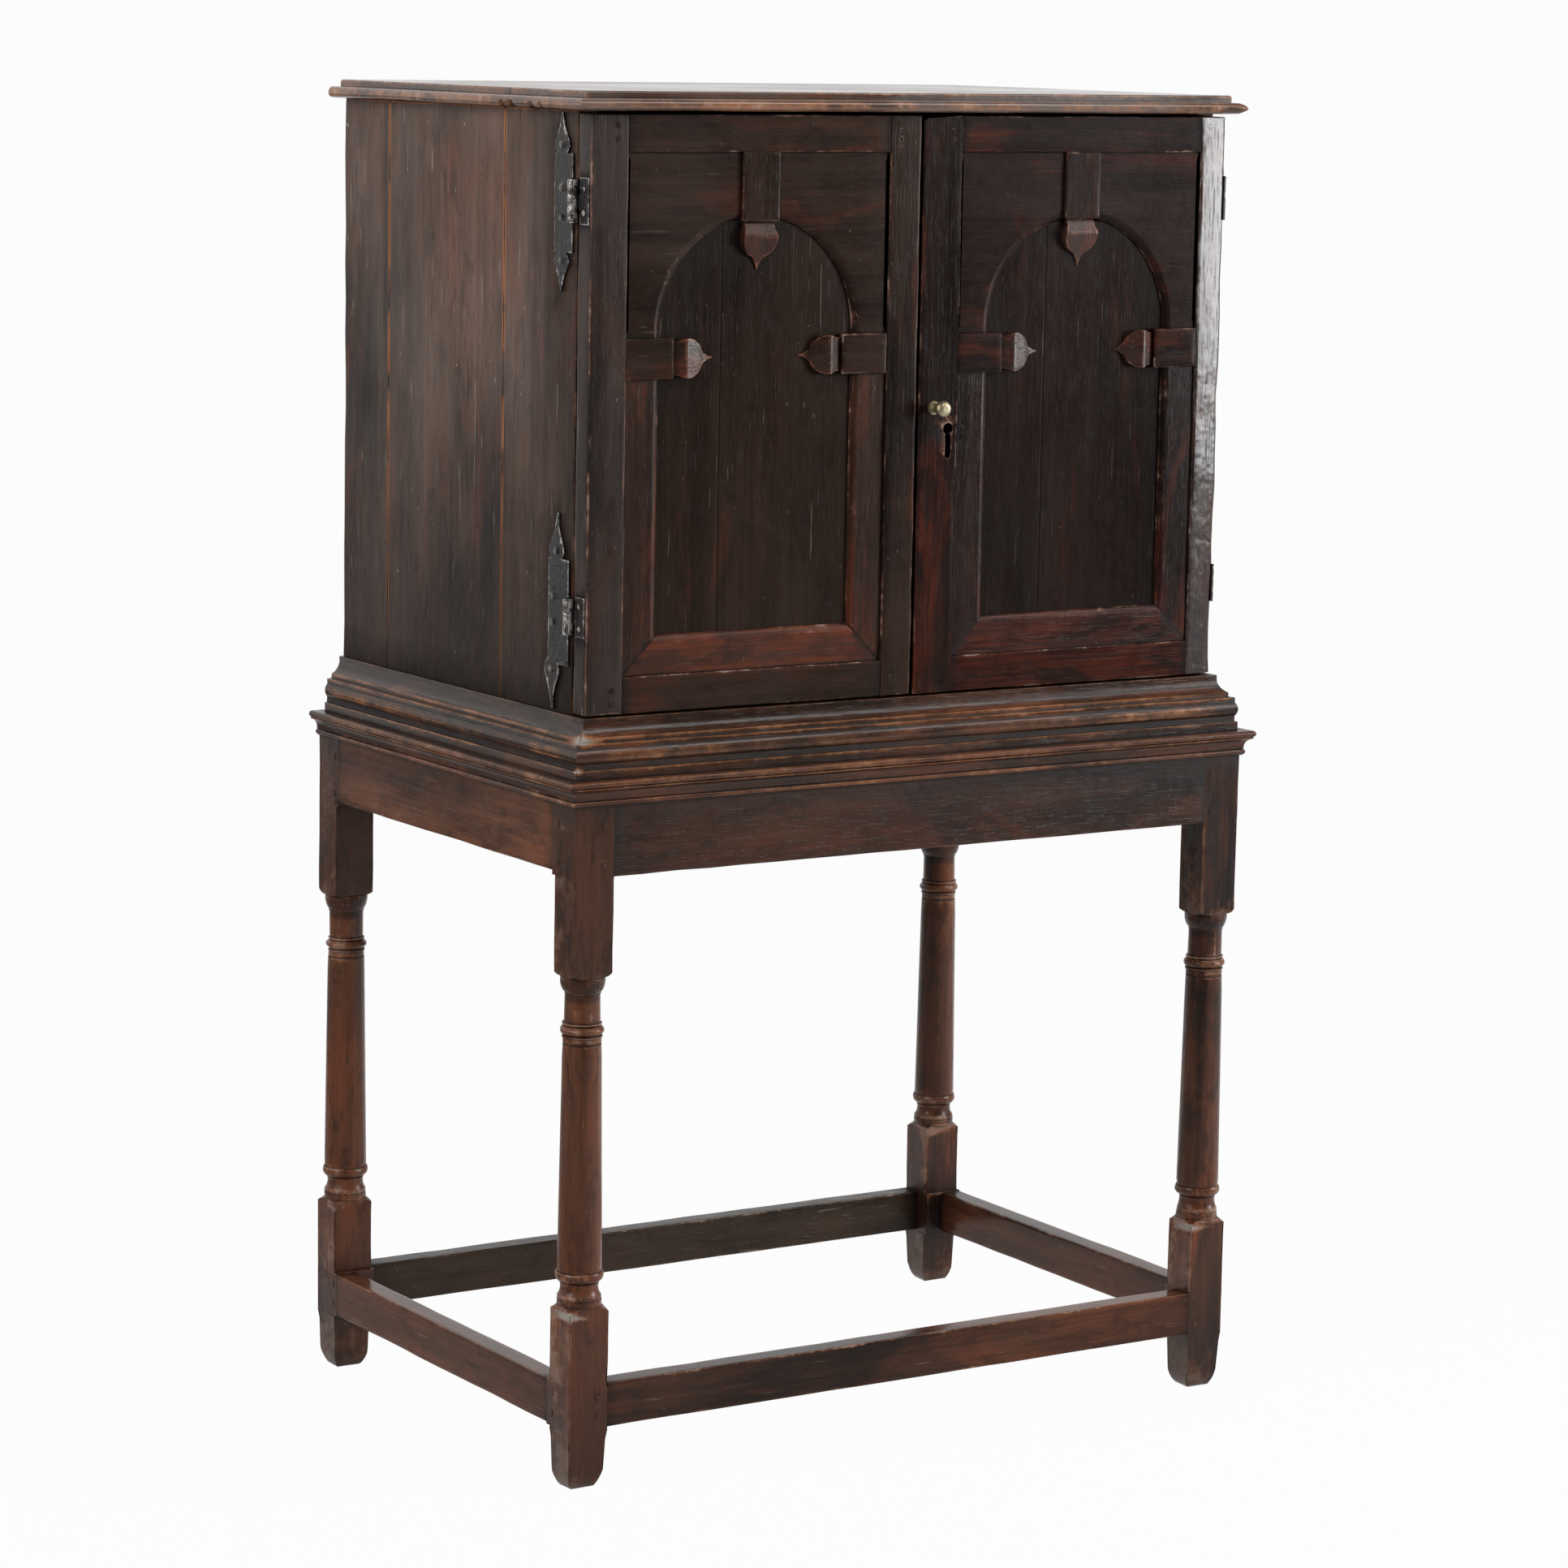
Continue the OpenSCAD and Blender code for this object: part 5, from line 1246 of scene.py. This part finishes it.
@dataclass
class Door:
    """One door: joined frame, boarded panel and its arcade."""

    shop: Workshop
    side: Side
    woods: DoorWoods
    # How far and how deep the outer arris of the hinge stile is worn round
    round_w: float = 20 * MM
    round_d: float = 1.0 * MM
    round_curve: float = 1.6
    frame_edges: Edges = Edges(0.9 * MM, 0.9 * MM, 4.5 * MM, 30 * MM)
    arch_edges: Edges = Edges(0.35 * MM, 0.3 * MM, 3.5 * MM, 30 * MM, border=1.6 * MM)
    strip_edges: Edges = Edges(0.4 * MM, 0.35 * MM, 3.0 * MM, 24 * MM)
    block_edges: Edges = Edges(0.8 * MM, 0.6 * MM, 4.0 * MM, 13 * MM)
    drop_edges: Edges = Edges(0.45 * MM, 0.35 * MM, 3.0 * MM, 3 * MM)
    peg_edges: Edges = Edges(0.0, 0.0, 1.0 * MM, 30 * MM)
    stile_cut: float = 5 * MM
    outer_x: float = 374 * MM
    face_y: float = -239 * MM
    face_reach: float = 9 * MM
    tip_w: float = 5 * MM
    # The right meeting stile's upper corner, worn off at a slant
    inner_x: float = 1.5 * MM
    top_z: float = 1328.5 * MM
    slant: float = 9 * MM

    def worn_outer(self, co: Vector) -> Vector:
        """Rounds and waves the outer arris of a hinge stile."""
        out = abs(co.x)
        front = 1.0 - ease(co.y, self.face_y, self.face_y + self.face_reach)
        wave = noise.noise(Vector((self.side.value * 3.0, 0.0, co.z * 13)))
        fine = noise.noise(Vector((self.side.value * 7.0, 2.0, co.z * 47)))
        share = max(0.0, 1.0 - (self.outer_x - out) / self.round_w) ** self.round_curve
        co.y += front * share * self.round_d * (1.0 + 0.5 * wave + 0.2 * fine)
        tip = ease(out, self.outer_x - self.tip_w, self.outer_x)
        co.x -= self.side.value * tip * front * max(0.0, 0.8 + 1.6 * wave + 0.8 * fine) * MM
        return co

    def worn_corner(self, co: Vector) -> Vector:
        """Rounds the upper inner corner of the right door's meeting stile."""
        gap = (abs(co.x) - self.inner_x) + (self.top_z - co.z)
        if self.side is Side.RIGHT and gap < self.slant:
            co.z -= (self.slant - gap) * 0.55
        return co

    def build(self) -> None:
        """Builds and dresses the door."""
        word, woods = self.side.word, self.woods
        across = tuple((0, self.side.value * (self.outer_x - k * self.stile_cut))
                       for k in range(2, 10))
        plan: tuple[tuple[str, str, Edges, OakFinish, Optional[Mould]], ...] = (
            ("hinge_stile", "oak", replace(self.frame_edges, cuts=across), woods.outer,
             self.worn_outer),
            ("meeting_stile", "oak", self.frame_edges, woods.frame, self.worn_corner),
            ("top_rail", "oak", self.frame_edges, woods.frame, None),
            ("bottom_rail", "oak", self.frame_edges, woods.frame, None),
            ("panel", "boards", self.frame_edges, woods.panel, None),
            ("spandrel", "arch", self.arch_edges, woods.frame, None),
            ("mouldings", "strips", self.strip_edges, woods.trim, None),
            ("blocks", "oak", self.block_edges, woods.frame, None),
            ("drops", "carved", self.drop_edges, woods.drops, None),
        )
        for part, name, edges, oak, shape in plan:
            grain = Grain.ACROSS if part == "spandrel" else None
            Piece(self.shop, f"{word}_{part}", name).work(edges, shape).finish(oak, grain)
        ends = Piece(self.shop, f"{word}_door_pegs", "ends").work(self.peg_edges, self.worn_outer)
        pegs = ends.finish(woods.frame, Grain.DEEP).data
        pegs.materials.append(woods.outer.material(Grain.DEEP))
        for face in pegs.polygons:
            face.material_index = int(abs(face.center.x) > self.outer_x - self.round_w)


@dataclass
class Ironwork:
    """Hinges, lock, bolts and knob."""

    shop: Workshop
    iron: IronFinish = IronFinish()
    brass: BrassFinish = BrassFinish()
    leaf_edges: Edges = Edges(0.35 * MM, 0.2 * MM, 2.2 * MM, 9 * MM)
    knob_edges: Edges = Edges(0.0, 0.0, 1.2 * MM, 30 * MM)

    def build(self) -> None:
        """Dresses the ironwork and the knob."""
        for side in Side:
            for part in ("case_leaves", "door_leaves"):
                leaves = Piece(self.shop, f"{side.word}_{part}", "iron")
                leaves.work(self.leaf_edges).finish(self.iron)
            self.shop.keep_solid(f"{side.word}_hinge_pins", self.iron.material())
        for node in ("lock_case", "lock_bolt", "slip_bolt", "door_staples"):
            self.shop.keep_solid(node, self.iron.material())
        Piece(self.shop, "knob", "turned").work(self.knob_edges).finish(self.brass)


@dataclass(frozen=True)
class Lamp:
    """One soft rectangular lamp: where it hangs, its width and height, its watts."""

    name: str
    place: Triple
    size: Band
    power: float


@dataclass
class Studio:
    """Pale floor, white room, soft lamps and the camera."""

    # The camera, as fitted to the photograph
    eye: Triple = (-2.6928, -4.2449, 1.4252)
    yaw: float = math.radians(32.43)
    pitch: float = math.radians(-8.95)
    roll: float = math.radians(1.04)
    sensor_mm: float = 36.0
    focal_px: float = 6033.4
    photo_px: float = 1932.0
    # Middle and half sizes of the floor, and how white the camera sees it
    floor_middle: Triple = (0.0, -0.2, 0.0)
    floor_half: Triple = (9.0, 4.4, 1.0)
    floor_grey: float = 0.45
    floor_white: float = 0.97
    # Where along X the floor turns white in reflections
    floor_mirror: Band = (-1.2, 0.2)
    # Levels of the room: its light, its look, and its reflection before and behind
    room_light: float = 0.07
    room_white: float = 0.9
    room_front: float = 0.08
    room_back: float = 0.82
    room_turn: Band = (0.15, 0.6)
    aim: Triple = (0.0, 0.0, 0.8)
    lamps: tuple[Lamp, ...] = (
        Lamp("left_window", (-3.5, -0.5, 2.3), (2.2, 2.4), 105.0),
        Lamp("right_window", (3.03, -2.15, 1.55), (1.4, 1.7), 112.0),
        Lamp("high_fill", (1.2, -2.3, 3.2), (2.8, 1.2), 48.0))

    def floor_material(self) -> bpy.types.Material:
        """Makes the floor white to the camera, with the object's soft shadow kept."""
        g = Graph(bpy.data.materials.new("studio_paper"))
        path = g.node("ShaderNodeLightPath").outputs
        mirrored = Val(g, path["Is Glossy Ray"]) * g.axis(0).rise(*self.floor_mirror)
        direct = (Val(g, path["Is Camera Ray"]) + mirrored
                  + Val(g, path["Is Transmission Ray"])).lesser(1.0)
        paper = g.node("ShaderNodeBsdfDiffuse", None, {"Color": (self.floor_grey,) * 3})
        glow = g.node("ShaderNodeEmission", None, {"Color": (1.0, 1.0, 1.0), "Strength": 1.0})
        mixed = g.node("ShaderNodeMixShader", None, {
            0: direct * self.floor_white, 1: paper.outputs[0], 2: glow.outputs[0]})
        g.node("ShaderNodeOutputMaterial", None, {"Surface": mixed.outputs[0]})
        return g.owner

    def build_floor(self) -> None:
        """Lays the floor."""
        bm = bmesh.new()
        place = Matrix.LocRotScale(Vector(self.floor_middle), None, Vector(self.floor_half))
        bmesh.ops.create_grid(bm, x_segments=1, y_segments=1, size=1.0, matrix=place)
        mesh = bpy.data.meshes.new("studio_sheet")
        bm.to_mesh(mesh)
        bm.free()
        mesh.materials.append(self.floor_material())
        sheet = add_object("studio_sheet", mesh)

    def hang_lamp(self, lamp: Lamp) -> None:
        """Hangs one lamp and points it at the middle of the cabinet."""
        light = bpy.data.lights.new(lamp.name, "AREA")
        light.shape = "RECTANGLE"
        light.size, light.size_y = lamp.size
        light.energy = lamp.power
        obj = add_object(lamp.name, light)
        obj.location = lamp.place
        way = Vector(self.aim) - Vector(lamp.place)
        obj.rotation_euler = way.to_track_quat("-Z", "Y").to_euler()

    def build_camera(self) -> None:
        """Sets the camera where the photograph was taken from."""
        forward = Vector((math.sin(self.yaw) * math.cos(self.pitch),
                          math.cos(self.yaw) * math.cos(self.pitch), math.sin(self.pitch)))
        right = Vector((math.cos(self.yaw), -math.sin(self.yaw), 0.0))
        up = right.cross(forward)
        side = right * math.cos(self.roll) + up * math.sin(self.roll)
        head = up * math.cos(self.roll) - right * math.sin(self.roll)
        camera = bpy.data.cameras.new("camera")
        camera.lens = self.sensor_mm * self.focal_px / self.photo_px
        camera.clip_end = 60.0
        obj = add_object("camera", camera)
        rows = [(side[i], head[i], -forward[i], self.eye[i]) for i in range(3)]
        obj.matrix_world = Matrix((*rows, (0.0, 0.0, 0.0, 1.0)))
        bpy.context.scene.camera = obj

    def build_room(self) -> None:
        """Gives the room a dim plain light and a white look to the camera."""
        room = bpy.data.worlds.new("room")
        g = Graph(room)
        path = g.node("ShaderNodeLightPath").outputs
        ways = g.node("ShaderNodeSeparateXYZ", None, {0: g.places["Generated"]})
        behind = Val(g, ways.outputs[1]).rise(*self.room_turn)
        level = (self.room_light + Val(g, path["Is Camera Ray"]) * self.room_white
                 + Val(g, path["Is Glossy Ray"]) * (self.room_front + behind * self.room_back)
                 + Val(g, path["Is Transmission Ray"]) * self.room_white)
        back = g.node("ShaderNodeBackground", None, {"Color": (1.0, 1.0, 1.0), "Strength": level})
        g.node("ShaderNodeOutputWorld", None, {"Surface": back.outputs[0]})
        bpy.context.scene.world = room

    def build(self) -> None:
        """Builds the studio."""
        bpy.context.scene.view_settings.view_transform = "Standard"
        self.build_camera()
        self.build_room()
        self.build_floor()
        for lamp in self.lamps:
            self.hang_lamp(lamp)


def main() -> None:
    """Builds the cabinet from its sub-assemblies."""
    logging.basicConfig(level=logging.INFO, format="%(message)s")
    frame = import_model()
    Studio().build()
    shop = Workshop(frame)
    Stand(shop).build()
    Carcase(shop).build()
    Door(shop, Side.LEFT, LEFT_WOODS).build()
    Door(shop, Side.RIGHT, RIGHT_WOODS, round_w=46 * MM, round_d=4.4 * MM).build()
    Ironwork(shop).build()


if __name__ == "__main__":
    main()
